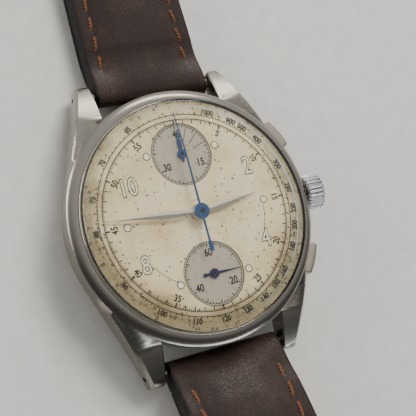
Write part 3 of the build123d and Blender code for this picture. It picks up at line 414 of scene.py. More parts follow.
def arc(start, middle, end, count=12):  # points on the circle through three points
    (ax, ay), (bx, by), (cx, cy) = start, middle, end
    double = 2 * (ax * (by - cy) + bx * (cy - ay) + cx * (ay - by))
    a, b, c = ax * ax + ay * ay, bx * bx + by * by, cx * cx + cy * cy
    x = (a * (by - cy) + b * (cy - ay) + c * (ay - by)) / double
    y = (a * (cx - bx) + b * (ax - cx) + c * (bx - ax)) / double
    radius = math.hypot(ax - x, ay - y)
    first = math.atan2(ay - y, ax - x)
    turn = (math.atan2(cy - y, cx - x) - first + math.pi) % math.tau - math.pi
    angles = [first + turn * step / count for step in range(count + 1)]
    return [(x + radius * math.cos(angle), y + radius * math.sin(angle)) for angle in angles]


def lathe(work, outline, steps=192, centre=(0, 0), closed=True):  # outline is a list of (radius, height)
    rows = []
    for radius, height in outline:
        if radius < 1e-6:
            rows.append([work.verts.new((centre[0], centre[1], height))])
            continue
        row = []
        for step in range(steps):
            turn = math.tau * step / steps
            x, y = centre[0] + radius * math.cos(turn), centre[1] + radius * math.sin(turn)
            row.append(work.verts.new((x, y, height)))
        rows.append(row)
    pairs = list(zip(rows, rows[1:]))
    if closed:
        pairs.append((rows[-1], rows[0]))
    for low, high in pairs:
        if len(low) == 1 and len(high) == 1:
            continue
        for step in range(steps):
            after = (step + 1) % steps
            corners = [low[step % len(low)], low[after % len(low)]]
            corners += [high[after % len(high)], high[step % len(high)]]
            work.faces.new(list(dict.fromkeys(corners)))


def loft(work, rings, capped=True):  # rings of the same number of points, joined in order
    made = [[work.verts.new(point) for point in ring] for ring in rings]
    count = len(made[0])
    for first, second in zip(made, made[1:]):
        for step in range(count):
            after = (step + 1) % count
            work.faces.new((first[step], first[after], second[after], second[step]))
    if capped:
        work.faces.new(list(reversed(made[0])))
        work.faces.new(made[-1])


def eased(share):
    share = min(1.0, max(0.0, share))
    return share * share * (3 - 2 * share)


def clock(distance, angle, centre=(0, 0)):  # clock angle in degrees from 12 o'clock
    turn = math.radians(angle)
    return centre[0] + distance * math.sin(turn), centre[1] + distance * math.cos(turn)


# ---- geometry node trees
def newTree(name, sizes):
    tree = bpy.data.node_groups.new(name, "GeometryNodeTree")
    tree.interface.new_socket("Geometry", in_out="INPUT", socket_type="NodeSocketGeometry")
    tree.interface.new_socket("Geometry", in_out="OUTPUT", socket_type="NodeSocketGeometry")
    kinds = {int: "NodeSocketInt", float: "NodeSocketFloat", str: "NodeSocketMaterial"}
    for key, value in sizes.items():
        socket = tree.interface.new_socket(key, in_out="INPUT", socket_type=kinds[type(value)])
        if type(value) is not str:
            socket.default_value = value
    board = Board(tree)
    entry = tree.nodes.new("NodeGroupInput")
    return tree, board, {socket.name: Wire(board, socket) for socket in entry.outputs if socket.name}


def endTree(board, geometry, material):
    whole = board.node("GeometryNodeRealizeInstances", None, {"Geometry": geometry})
    dressed = board.node("GeometryNodeSetMaterial", None, {"Geometry": whole, "Material": material})
    output = board.tree.nodes.new("NodeGroupOutput")
    board.tree.links.new(dressed.socket, output.inputs[0])


def meshOf(holder):  # an object's mesh with its modifiers applied
    return bpy.data.meshes.new_from_object(holder.evaluated_get(bpy.context.evaluated_depsgraph_get()))


def grow(tree, mesh, values):  # the plain mesh that a tree makes from a starting mesh
    holder = bpy.data.objects.new("holder", mesh)
    bpy.context.scene.collection.objects.link(holder)
    modifier = holder.modifiers.new("grow", "NODES")
    modifier.node_group = tree
    for socket in tree.interface.items_tree:
        if socket.name in values and socket.in_out == "INPUT":
            modifier[socket.identifier] = values[socket.name]
    grown = meshOf(holder)
    bpy.data.objects.remove(holder)
    return grown


def makeMarkTree():  # short bars round a circle, lengths pointing outwards
    sizes = {"Count": 60, "Radius": 13.0, "Length": 0.3, "Width": 0.08, "Thickness": 0.02, "Material": ""}
    tree, board, given = newTree("markRing", sizes)
    circle = board.node("GeometryNodeMeshCircle", None, {"Vertices": given["Count"], "Radius": given["Radius"]})
    size = {0: given["Length"], 1: given["Width"], 2: given["Thickness"]}
    cube = board.node("GeometryNodeMeshCube", None, {"Size": board.join(size)})
    number = board.node("GeometryNodeInputIndex")
    turn = board.join({2: number * math.tau / given["Count"]})
    values = {"Points": circle, "Instance": cube, "Rotation": turn}
    endTree(board, board.node("GeometryNodeInstanceOnPoints", None, values), given["Material"])
    return tree


def makeDotTree():  # round buttons on every point of the starting mesh
    tree, board, given = newTree("dots", {"Radius": 0.45, "Thickness": 0.04, "Material": ""})
    values = {"Vertices": 28, "Radius": given["Radius"], "Depth": given["Thickness"]}
    button = board.node("GeometryNodeMeshCylinder", None, values)
    dots = board.node("GeometryNodeInstanceOnPoints", None, {"Points": given["Geometry"], "Instance": button})
    endTree(board, dots, given["Material"])
    return tree


markTree = makeMarkTree()
dotTree = makeDotTree()


# ---- dial printing
dialLevel = {"face": 7.7, "counter": 7.56, "ink": 0.012, "lift": 0.004}
seconds = {"circle": 13.4, "fine": 13.1, "second": 12.75, "five": 12.72, "numeral": 12.1, "height": 0.92}
speeds = {"circle": 14.06, "tick": 14.32, "numeral": 14.7, "height": 0.8}
counters = {"place": 8.45, "ring": 4.38, "track": 4.12, "fine": 3.86, "coarse": 3.64, "numeral": 2.95,
            "height": 1.02, "minuteMark": 3.05, "minuteLength": 2.1, "minutes": (24, 48, 72)}
lume = {"dot": 0.43, "dotPlace": 10.3, "outline": 0.12, "height": 2.45, "thick": 0.07,
        "rim": 0.02, "spread": 0.13, "shrink": -0.01, "squeeze": 0.8}
lumeNumerals = {"10": (-8.6, 5.28), "2": (9.2, 5.26), "4": (9.0, -5.3), "8": (-9.1, -5.3)}
speedMarks = [*range(65, 80, 5), *range(80, 160, 10), *range(160, 240, 20), 250, *range(300, 700, 100), 1000]
speedTurn = 21600  # a speed's mark stands at this many degrees over the speed
lineWidths = {"circle": 0.12, "fine": 0.1, "second": 0.15, "five": 0.22, "speed": 0.13, "arc": 0.09,
              "counterRing": 0.12, "counterTrack": 0.085, "counterFine": 0.1, "counterCoarse": 0.15,
              "minutes": 0.1}
innerArcs = {"radius": 10.05, "spans": ((94, 116), (213, 236))}  # clock angles
letterShapes = {}


def letters(text, height, spread=0.0, thick=0.01, squeeze=0.82):  # a text's closed mesh, centred, height in mm
    key = (text, height, spread, thick, squeeze)
    if key not in letterShapes:
        curve = bpy.data.curves.new("letters", "FONT")
        curve.body = text
        curve.align_x = "CENTER"
        curve.resolution_u = 4
        holder = bpy.data.objects.new("letters", curve)
        bpy.context.scene.collection.objects.link(holder)
        across, up, _ = zip(*(vertex.co for vertex in meshOf(holder).vertices))
        low, high = min(up), max(up)
        scale = height / (high - low)
        curve.offset = spread / scale
        curve.extrude = thick / 2 / scale
        holder.data = curve
        bpy.context.view_layer.update()
        mesh = meshOf(holder)
        middle = Matrix.Translation((-(min(across) + max(across)) / 2, -(low + high) / 2, 0))
        mesh.transform(Matrix.Diagonal((scale * squeeze, scale, scale, 1)) @ middle)
        bpy.data.objects.remove(holder)
        letterShapes[key] = mesh
    return letterShapes[key]


def add(work, mesh, matrix):
    copy = mesh.copy()
    copy.transform(matrix)
    work.from_mesh(copy)
    bpy.data.meshes.remove(copy)


def write(work, text, height, radius, angle, level, centre=(0, 0), upright=False, bold=0.042):
    x, y = clock(radius, angle, centre)
    turn = 0 if upright else -angle + (180 if 90 < angle < 270 else 0)
    place = Matrix.Translation((x, y, level)) @ Matrix.Rotation(math.radians(turn), 4, "Z")
    add(work, letters(text, height, bold, dialLevel["ink"]), place)


def band(work, radius, width, level, centre=(0, 0), start=0, stop=360):  # thin printed line round a centre
    half = dialLevel["ink"] / 2
    inner, outer = radius - width / 2, radius + width / 2
    section = [(inner, level - half), (outer, level - half), (outer, level + half), (inner, level + half)]
    if stop - start >= 360:
        lathe(work, section, 180, centre)
        return
    steps = max(2, int((stop - start) / 2))
    rings = []
    for step in range(steps + 1):
        angle = start + (stop - start) * step / steps
        rings.append([(*clock(r, angle, centre), z) for r, z in section])
    loft(work, rings)


def marks(work, count, inner, outer, width, level, centre=(0, 0)):
    values = {"Count": count, "Radius": (inner + outer) / 2, "Length": outer - inner, "Width": width,
              "Thickness": dialLevel["ink"], "Material": printInk}
    add(work, grow(markTree, bpy.data.meshes.new("start"), values),
        Matrix.Translation((*centre, level)) @ Matrix.Rotation(math.pi / 2, 4, "Z"))


def makeDialPrint():
    level = dialLevel["face"] + dialLevel["lift"]
    wide = lineWidths
    circle = seconds["circle"]
    track = bmesh.new()
    band(track, circle, wide["circle"], level)
    band(track, speeds["circle"], wide["circle"], level)
    marks(track, 300, seconds["fine"], circle, wide["fine"], level)
    marks(track, 60, seconds["second"], circle, wide["second"], level)
    marks(track, 12, seconds["five"], circle + 0.04, wide["five"], level)
    marks(track, 100, speeds["circle"], speeds["tick"], wide["speed"], level)
    newPiece("dialTrack", track, printInk, "case")
    numerals = bmesh.new()
    for number in range(5, 60, 5):
        if number != 30:
            write(numerals, str(number), seconds["height"], seconds["numeral"], number * 6, level)
    for speed in speedMarks:
        write(numerals, str(speed), speeds["height"], speeds["numeral"], speedTurn / speed, level, bold=0.06)
    newPiece("dialNumerals", numerals, printInk, "case")
    faint = bmesh.new()
    for start, stop in innerArcs["spans"]:
        band(faint, innerArcs["radius"], wide["arc"], level, (0, 0), start, stop)
    newPiece("dialArcs", faint, fadedInk, "case")


def makeCounterPrint():
    level = dialLevel["counter"] + dialLevel["lift"]
    work = bmesh.new()
    top = (0, counters["place"])
    bottom = (0, -counters["place"])
    wide = lineWidths
    for centre, fine, coarse in ((top, 45, 9), (bottom, 60, 12)):
        band(work, counters["ring"], wide["counterRing"], level, centre)
        band(work, counters["track"], wide["counterTrack"], level, centre)
        marks(work, fine, counters["fine"], counters["track"], wide["counterFine"], level, centre)
        marks(work, coarse, counters["coarse"], counters["track"], wide["counterCoarse"], level, centre)
    size = Matrix.Diagonal((wide["minutes"], counters["minuteLength"], dialLevel["ink"], 1))
    for angle in counters["minutes"]:
        x, y = clock(counters["minuteMark"], angle, top)
        place = Matrix.Translation((x, y, level)) @ Matrix.Rotation(math.radians(-angle), 4, "Z")
        bmesh.ops.create_cube(work, size=1, matrix=place @ size)
    numeral, height = counters["numeral"], counters["height"]
    for centre, texts in ((top, ("45", "15", "30")), (bottom, ("60", "20", "40"))):
        for third, text in enumerate(texts):
            write(work, text, height, numeral, 120 * third, level, centre, upright=True, bold=0.045)
    newPiece("counterPrint", work, printInk, "case")


def makeLume():
    level = dialLevel["face"]
    start = bpy.data.meshes.new("start")
    places = [(*clock(lume["dotPlace"], hour * 30), level) for hour in (1, 3, 5, 7, 9, 11)]
    start.from_pydata(places, [], [])
    values = {"Radius": lume["dot"] + lume["outline"], "Thickness": lume["rim"], "Material": printInk}
    rims = grow(dotTree, start, values)
    spots = grow(dotTree, start, {"Radius": lume["dot"], "Thickness": lume["thick"], "Material": lumePaint})
    dark = bmesh.new()
    add(dark, rims, Matrix.Translation((0, 0, lume["rim"] / 2)))
    light = bmesh.new()
    add(light, spots, Matrix.Identity(4))
    for text, (x, y) in lumeNumerals.items():
        place = Matrix.Translation((x, y, level + lume["rim"] / 2))
        add(dark, letters(text, lume["height"], lume["spread"], lume["rim"], lume["squeeze"]), place)
        add(light, letters(text, lume["height"], lume["shrink"], lume["thick"], lume["squeeze"]), place)
    newPiece("lumeOutlines", dark, printInk, "case")
    newPiece("lumePaint", light, lumePaint, "case")


makeDialPrint()
makeCounterPrint()
makeLume()
print("dial printed")

# ---- case, bezel and crystal
bezel = {"outer": 18.0, "low": 7.0, "chamfer": 0.14, "bow": (17.42, 7.52), "slope": (16.62, 7.74),
         "groove": 7.67, "rim": 16.5, "rimTop": 7.98, "inner": 16.16, "opening": 15.87, "seat": 7.72,
         "lip": 0.1, "neck": 17.0, "neckTop": 7.36, "dialEdge": 16.4}


def makeBezel():
    b = bezel
    rimLow = b["rimTop"] - 0.12
    slope = arc((b["outer"], b["low"] + b["chamfer"]), b["bow"], b["slope"], 16)
    outline = [(b["outer"] - 0.06, b["low"]), (b["outer"] - 0.01, b["low"] + 0.06), *slope,
               (b["slope"][0] - 0.03, b["groove"]), (b["rim"] + 0.005, b["groove"])]
    inside = [(b["inner"], b["seat"] + b["lip"]), (b["opening"] + 0.03, b["seat"] + b["lip"]),
              (b["opening"], b["seat"] + b["lip"] - 0.03), (b["opening"], b["seat"]),
              (b["dialEdge"], b["seat"]), (b["dialEdge"], b["neckTop"]), (b["neck"], b["neckTop"]),
              (b["neck"], b["low"])]
    rim = arc((b["rim"], rimLow), ((b["rim"] + b["inner"]) / 2, b["rimTop"]), (b["inner"], rimLow), 10)
    work = bmesh.new()
    lathe(work, outline + rim + inside, 256)
    piece = newPiece("bezelRing", work, metals["bezelSteel"], "case", "case_steel", ("bezel",), 24)
    # the rim's top gets rimSteel: its lower roughness is the rim's polish, its lighter colour a painted highlight
    piece.data.materials.append(metals["rimSteel"])
    for face in piece.data.polygons:
        radius = math.hypot(face.center.x, face.center.y) / mm
        if b["inner"] < radius < b["rim"] and face.center.z / mm > b["groove"] + 0.1:
            face.material_index = 1


crystal = {"radius": 16.14, "low": 7.82, "edge": 9.0, "top": 11.2, "thickness": 1.0}


def makeCrystalPiece():
    c = crystal
    rise = c["top"] - c["edge"]
    dome = (c["radius"] ** 2 + rise ** 2) / (2 * rise)
    centre = c["top"] - dome
    skirt = c["radius"] - c["thickness"]

    def shell(radius, reach, count=40):
        angles = [math.asin(reach / radius) * step / count for step in range(count + 1)]
        return [(radius * math.sin(angle), centre + radius * math.cos(angle)) for angle in angles]

    outside = shell(dome, c["radius"])
    outside[-1:] = [(c["radius"] - 0.05, outside[-1][1] + 0.004), (c["radius"], outside[-1][1] - 0.05)]
    inside = shell(dome - c["thickness"], skirt - 0.15)
    inside.append((skirt - 0.03, inside[-1][1] - 0.09))
    inside.append((skirt, inside[-1][1] - 0.2))
    outline = outside + [(c["radius"], c["low"]), (skirt, c["low"])] + list(reversed(inside))
    work = bmesh.new()
    lathe(work, outline, 192, closed=False)
    newPiece("crystalDome", work, crystalFinish, "case", "crystal_clear", ("crystal",), 40)


makeBezel()
makeCrystalPiece()
for node, name in {"case_middle": "caseBody", "case_back": "caseBack"}.items():
    smoothCopy(node, name, metals["caseSteel"], "case", "case_steel", 20)
for node, name in {"start_pusher": "startPusher", "reset_pusher": "resetPusher"}.items():
    smoothCopy(node, name, metals["pusherSteel"], node, "case_steel", 35)
print("case made")

# ---- crown
crown = {"start": 18.45, "end": 21.3, "height": 4.9, "radius": 2.72, "flutes": 24, "depth": 0.44}


def makeCrownTree():
    sizes = {"Start": 0.0, "End": 1.0, "Height": 0.0, "Radius": 1.0, "Flutes": 24, "Depth": 0.3, "Material": ""}
    tree, board, given = newTree("flutedCrown", sizes)
    ends = {}
    for end in ("Start", "End"):
        ends[end] = board.join({0: given[end], 2: given["Height"]})
    line = board.node("GeometryNodeCurvePrimitiveLine", None, ends)
    line = board.node("GeometryNodeResampleCurve", None, {"Curve": line, "Count": 33})
    along = board.node("GeometryNodeSplineParameter", None, None) * 2 - 1
    rounding = 1 - 0.12 * (along.maths("ABSOLUTE") ** 9)
    ring = board.node("GeometryNodeCurvePrimitiveCircle", None, {"Resolution": 24 * 12, "Radius": 1.0})
    spot = board.node("GeometryNodeInputPosition")
    x, y, _ = board.split(spot)
    angle = y.maths("ARCTAN2", x)
    tooth = (angle * given["Flutes"] / 2).maths("SINE").maths("ABSOLUTE")
    size = 1 - given["Depth"] * (1 - tooth ** 0.8) / given["Radius"]
    place = board.node("ShaderNodeVectorMath", {"operation": "SCALE"}, {0: spot, "Scale": size})
    ring = board.node("GeometryNodeSetPosition", None, {"Geometry": ring, "Position": place})
    body = board.node("GeometryNodeCurveToMesh", None, {"Curve": line, "Profile Curve": ring, "Fill Caps": True,
                                                         "Scale": rounding * given["Radius"]})
    endTree(board, body, given["Material"])
    return tree


def makeCrown():
    values = {key.capitalize(): value for key, value in crown.items()}
    values["Material"] = metals["crownChrome"]
    work = bmesh.new()
    work.from_mesh(grow(makeCrownTree(), bpy.data.meshes.new("start"), values))
    newPiece("crownFluted", work, metals["crownChrome"], "crown", "case_steel", ("crown",), 34)


makeCrown()
print("crown made")

# ---- hands
leafHands = {
    "hourHand": {"length": 9.6, "width": 1.16, "widest": 3.4, "root": 0.6, "tail": 0, "hub": 1.2, "bore": 1.0,
                 "centre": (0, 0), "low": 8.1, "clock": 82.5, "bent": False,
                 "body": "hour_work", "node": "hour_hand", "finish": "handSilver", "slot": "hand_steel"},
    "minuteHand": {"length": 13.6, "width": 1.0, "widest": 5.0, "root": 0.55, "tail": 0, "hub": 1.0, "bore": 0.72,
                   "centre": (0, 0), "low": 8.46, "clock": 275.5, "bent": True,
                   "body": "minute_work", "node": "minute_hand", "finish": "handSilver", "slot": "hand_steel"},
    "counterHand": {"length": 3.5, "width": 0.66, "widest": 1.7, "root": 0.34, "tail": 1.1, "hub": 0.66, "bore": 0,
                    "centre": (0, 8.45), "low": 7.68, "clock": 2.0, "bent": False, "body": "minute_counter",
                    "node": "minute_counter_hand", "finish": "handBlue", "slot": "hand_blue"},
    "secondsHand": {"length": 4.0, "width": 0.32, "widest": 1.3, "root": 0.24, "tail": 1.35, "hub": 0.66, "bore": 0,
                    "centre": (0, -8.45), "low": 7.68, "clock": 90.0, "bent": False, "body": "running_seconds",
                    "node": "small_seconds_hand", "finish": "handViolet", "slot": "hand_blue"},
}
handThickness = 0.16
droop = {"start": 9.0, "end": 15.0, "depth": 0.75}


def bend(y):  # how far a long hand has bent down towards the dial
    return droop["depth"] * max(0, y - droop["start"]) / (droop["end"] - droop["start"])


def leafWidth(y, hand):  # half width of the blade at a distance from its centre
    if y < hand["widest"]:
        return hand["root"] / 2 + (hand["width"] - hand["root"]) / 2 * eased(y / hand["widest"])
    share = min(1.0, (y - hand["widest"]) / (hand["length"] - hand["widest"]))
    return 0.035 + (hand["width"] / 2 - 0.035) * (1 - share) ** 1.25 * (1 - 0.35 * share * (1 - share))


def bladeRing(y, half, low, edge, ridge):  # a hand's section, with a ridge along its middle
    return [(-half, y, low), (half, y, low), (half, y, edge), (0.0, y, ridge), (-half, y, edge)]


def hubSide(inner, outer, low, high, below, edge):  # a hub's outline, broken at its outer edges
    return [(inner, low - below), (outer - 0.04, low - below), (outer, low), (outer, high - edge),
            (outer - edge, high), (inner, high)]


def makeLeafHand(name, hand):
    work = bmesh.new()
    low = hand["low"]
    rings = []
    count = 40
    start = hand["bore"] + 0.05 if hand["bore"] else -hand["tail"]
    for step in range(count + 1):
        y = start + (hand["length"] - start) * step / count
        half = leafWidth(y, hand) if y > 0 else 0.14 + 0.02 * math.sin(-y)
        under = low - bend(y) if hand["bent"] else low
        edge = under + handThickness * 0.55
        rings.append(bladeRing(y, half, under, edge, edge + (0.04 + 0.32 * half)))
    loft(work, rings)
    if hand["bore"]:
        lathe(work, hubSide(hand["bore"], hand["hub"], low, low + handThickness + 0.05, 0.04, 0.03), 64)
    else:
        hub = hubSide(0, hand["hub"], low, low + handThickness + 0.12, 0.03, 0.06)
        lathe(work, hub, 64, closed=False)
        if name == "secondsHand":
            knob = [(0, low), (0.28, low), (0.28, low + 0.14), (0.24, low + 0.18), (0, low + 0.18)]
            lathe(work, knob, 40, (0, -hand["tail"]), closed=False)
    turn = Matrix.Translation((*hand["centre"], 0)) @ Matrix.Rotation(math.radians(-hand["clock"]), 4, "Z")
    bmesh.ops.transform(work, matrix=turn, verts=work.verts)
    newPiece(name, work, metals[hand["finish"]], hand["body"], hand["slot"], (hand["node"],), 20)


chronoHand = {"low": 9.0, "length": 14.15, "tail": 5.6, "hub": 1.07, "hubLow": 8.9, "hubTop": 9.42}


def makeChronographHand():
    h = chronoHand
    work = bmesh.new()
    stops = [(-h["tail"], 0.24), (-h["tail"] + 0.12, 0.3), (-4.5, 0.3), (-4.1, 0.17), (-3.2, 0.14), (0, 0.15),
             (5, 0.125), (9, 0.10), (12, 0.085), (h["length"], 0.06)]
    rings = []
    for y, half in stops:
        low = h["low"] - bend(y)
        top = low + handThickness
        rings.append(bladeRing(y, half, low, top - 0.05, top))
    loft(work, rings)
    hub = [(0, h["hubLow"]), (h["hub"] - 0.06, h["hubLow"]), (h["hub"], h["hubLow"] + 0.06),
           (h["hub"], h["hubTop"] - 0.1), (h["hub"] - 0.1, h["hubTop"]), (0, h["hubTop"])]
    lathe(work, hub, 96, closed=False)
    newPiece("chronographHand", work, metals["handBlue"], "chronograph", "hand_blue", ("chronograph_hand",), 24)
    pins = {"chronographPin": ((0, 0), 0.32, h["hubTop"] - 0.05, h["hubTop"] + 0.14, "chronograph"),
            "counterPin": ((0, 8.45), 0.24, 7.9, 8.02, "minute_counter"),
            "secondsPin": ((0, -8.45), 0.24, 7.9, 8.02, "running_seconds")}
    for name, (centre, radius, low, top, body) in pins.items():
        work = bmesh.new()
        dome = arc((radius, top - 0.04), (radius * 0.7, top - 0.012), (0, top), 6)
        lathe(work, [(0, low), (radius, low), *dome], 40, centre, closed=False)
        newPiece(name, work, metals["pinBrass"], body)


for name, hand in leafHands.items():
    makeLeafHand(name, hand)
makeChronographHand()
print("hands made")

# ---- strap
strap = {"bar": 19.7, "barHeight": 3.1, "width": 17.2, "endWidth": 16.0, "wrap": 1.5, "buckleWrap": 1.25,
         "padStart": 7.0, "padEnd": 40.0, "thick": 4.3, "thin": 2.5, "lining": 0.9, "liningStart": 2.4,
         "liftStart": 10.0, "liftEnd": 34.0, "lift": 1.02, "rise": 27.55, "archRadius": 108.0,
         "stitchInset": 2.0, "edgeRound": 0.5, "pad": 0.55, "foldReach": 7, "point": 9.0, "padFade": 0.72,
         "channelDepth": 0.14, "channelWidth": 0.42, "paintWidth": 0.42}
halves = {
    "buckleHalf": {"length": 68.0, "end": 69.22, "liningEnd": 64.5, "stitchEnd": 56.0, "flex": 30.0, "side": 1,
                   "inner": "buckle_strap_inner", "outer": "buckle_strap_outer", "pointed": False},
    "holedHalf": {"length": 108.0, "end": 108.45, "liningEnd": 108.45, "stitchEnd": 96.0, "flex": 47.0, "side": -1,
                  "inner": "holed_strap_inner", "outer": "holed_strap_outer", "pointed": True},
}
strapHoles = {"count": 7, "first": 59.0, "pitch": 6.5, "radius": 0.9, "depth": 9}
tongueSlot = {"height": 3, "size": (2.3, 10.6, 12, 1)}


def strapThickness(run):
    if run <= strap["padStart"]:
        return 2 * strap["wrap"] + (strap["thick"] - 2 * strap["wrap"]) * max(0, run) / strap["padStart"]
    share = (run - strap["padStart"]) / (strap["padEnd"] - strap["padStart"])
    return strap["thick"] + (strap["thin"] - strap["thick"]) * eased(share)


def strapMiddle(run, half):  # place on the middle line, its height and its slope
    inside = max(0.0, run)
    if half["pointed"]:
        start = math.radians(strap["rise"])
        slope = start - inside / strap["archRadius"]
        y = strap["bar"] + strap["archRadius"] * (math.sin(start) - math.sin(slope))
        height = strap["barHeight"] + strap["archRadius"] * (math.cos(slope) - math.cos(start))
    else:
        slope = 0.0
        lift = strap["lift"] * eased((inside - strap["liftStart"]) / (strap["liftEnd"] - strap["liftStart"]))
        resting = strapThickness(inside) / 2 + lift
        y = strap["bar"] + inside
        height = strap["barHeight"] + (resting - strap["barHeight"]) * eased(inside / strap["padStart"])
    behind = run - inside
    return y + behind * math.cos(slope), height + behind * math.sin(slope), slope


def strapPoint(run, x, reach, half):  # reach is measured square to the middle line
    y, height, slope = strapMiddle(run, half)
    return x, half["side"] * (y - reach * math.sin(slope)), height + reach * math.cos(slope)


def halfWidth(run, half):
    share = min(1.0, max(0.0, run) / (0.75 * half["length"]))
    width = (strap["width"] + (strap["endWidth"] - strap["width"]) * share) / 2
    if half["pointed"]:
        start = half["length"] - strap["point"]
        past = (run - start) / (strap["point"] + 0.45)
        if past > 0:
            width *= max(0.02, 1 - past ** 2.1) ** 0.62
    return width


def topDrop(x, half, run):  # how far the top surface lies under the middle's top
    width = halfWidth(run, half)
    fade = eased(run / 5) * (1 - strap["padFade"] * eased((run - 12) / 30))
    inside = width - strap["stitchInset"]
    pad = strap["pad"] * fade * eased((abs(x) - inside * 0.35) / (inside * 0.65 + 0.25))
    channel = strap["channelDepth"] * math.exp(-((abs(x) - inside) / strap["channelWidth"]) ** 2)
    channel *= eased((run - 2.5) / 1.5)
    corner = max(0.0, abs(x) - (width - strap["edgeRound"]))
    roundness = strap["edgeRound"] - math.sqrt(max(0.0, strap["edgeRound"] ** 2 - corner ** 2))
    return pad + channel + 0.8 * roundness


def strapRings(half, first, last, lower, upper, stations=150, columns=44):
    rings = []
    for station in range(stations + 1):
        run = first + (last - first) * station / stations
        width = halfWidth(run, half)
        top, bottom = upper(run), lower(run)
        ring = []
        for column in range(columns + 1):
            x = -width * math.cos(math.pi * column / columns)
            x = 0.5 * x + 0.5 * (-width + 2 * width * column / columns)
            ring.append(strapPoint(run, x, top - min(topDrop(x, half, run), (top - bottom) * 0.7), half))
        for share in (0.5, 0.12):
            height = bottom + (top - topDrop(width, half, run) - bottom) * share
            ring.append(strapPoint(run, width, max(height, bottom + 0.05), half))
        for column in range(9):
            ring.append(strapPoint(run, width * 0.985 * (1 - column / 4), bottom, half))
        for share in (0.12, 0.5):
            height = bottom + (top - topDrop(width, half, run) - bottom) * share
            ring.append(strapPoint(run, -width, max(height, bottom + 0.05), half))
        rings.append(ring)
    return rings


def roundEnd(run, end, radius):  # half thickness of a folded end, round past the end
    past = min(radius, max(0.0, run - end))
    return math.sqrt(max(0.0, radius ** 2 - past ** 2))


def cutAway(piece, cutter):
    modifier = piece.modifiers.new("cut", "BOOLEAN")
    modifier.operation = "DIFFERENCE"
    modifier.solver = "EXACT"
    modifier.object = cutter
    bpy.context.view_layer.update()
    mesh = meshOf(piece)
    piece.modifiers.remove(modifier)
    piece.data = mesh
    bpy.data.objects.remove(cutter)


def makeCutters(half):
    work = bmesh.new()
    if half["pointed"]:
        radius = strapHoles["radius"]
        for number in range(strapHoles["count"]):
            run = strapHoles["first"] + strapHoles["pitch"] * number
            _, _, slope = strapMiddle(run, half)
            place = Matrix.Translation(strapPoint(run, 0, 0, half)) @ Matrix.Rotation(-slope, 4, "X")
            bmesh.ops.create_cone(work, cap_ends=True, segments=32, radius1=radius, radius2=radius,
                                  depth=strapHoles["depth"], matrix=place)
    else:
        place = Matrix.Translation((0, strap["bar"] + half["length"], tongueSlot["height"]))
        bmesh.ops.create_cube(work, size=1, matrix=place @ Matrix.Diagonal(tongueSlot["size"]))
    return newPiece("cutter", work, None)


def bendAcross(piece, half):  # bakes the piece's placing into its mesh; the two ends of the fold between the halves are worked out but not used
    start = strapPoint(half["flex"] - strap["foldReach"], 0, 0, half)
    end = strapPoint(half["flex"] + strap["foldReach"], 0, 0, half)
    [v * mm for v in start]
    [v * mm for v in end]
    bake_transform(piece)


def makeStrapLeather(name, half):
    def thickAt(run):
        if run < 0:
            return roundEnd(-run, 0, strap["wrap"])
        if not half["pointed"] and run > half["length"]:
            return roundEnd(run, half["length"], strap["buckleWrap"])
        return strapThickness(run) / 2

    def upper(run):
        return max(0.06, thickAt(run))

    def lower(run):
        lifted = strap["lining"] * eased((run - strap["liningStart"]) / 0.2)
        if not half["pointed"]:
            lifted *= 1 - eased((run - half["length"] + 3.3) / 0.3)
        return min(-0.06, -thickAt(run)) + lifted

    work = bmesh.new()
    loft(work, strapRings(half, -strap["wrap"] + 0.04, half["end"], lower, upper, 220))
    piece = newPiece(name, work, leather, None, "strap_leather", (half["inner"], half["outer"]), 60)
    cutAway(piece, makeCutters(half))
    dress(piece, leather)
    paintEdges(piece, half)
    bendAcross(piece, half)
    work = bmesh.new()
    rings = []
    count = 160
    start = strap["liningStart"] + 0.1
    for station in range(count + 1):
        run = start + (half["liningEnd"] - start) * station / count
        width = halfWidth(run, half) - 0.02
        low = -thickAt(run)
        high = low + strap["lining"] - 0.02
        section = [(width, high), (width, low + 0.3), (width - 0.1, low + 0.1), (width - 0.3, low)]
        section += [(width * share, low) for share in (0.6, 0.2, -0.2, -0.6)]
        section += [(-x, reach) for x, reach in reversed(section[:4])]
        rings.append([strapPoint(run, x, reach, half) for x, reach in section])
    loft(work, rings)
    nodes = (half["inner"] + "_lining", half["outer"] + "_lining")
    piece = newPiece(name + "Lining", work, liningLeather, None, "lining_leather", nodes, 50)
    if half["pointed"]:
        cutAway(piece, makeCutters(half))
        dress(piece, liningLeather)
    paintEdges(piece, half)
    bendAcross(piece, half)


def paintEdges(piece, half):
    layer = piece.data.attributes.new("paint", "FLOAT", "POINT")
    values = []
    for vertex in piece.data.vertices:
        x, y, _ = vertex.co / mm
        width = halfWidth(runAt(abs(y), half), half)
        values.append(eased((abs(x) - (width - strap["paintWidth"])) / 0.16))
    layer.data.foreach_set("value", values)


def runAt(y, half):  # distance along the strap for a place in plan
    if not half["pointed"]:
        return y - strap["bar"]
    start = math.radians(strap["rise"])
    sine = math.sin(start) - (y - strap["bar"]) / strap["archRadius"]
    return (start - math.asin(max(-1.0, min(1.0, sine)))) * strap["archRadius"]


stitch = {"pitch": 3.0, "length": 2.35, "thread": 0.145, "sink": 0.34, "slant": 7.0, "first": 4.8}


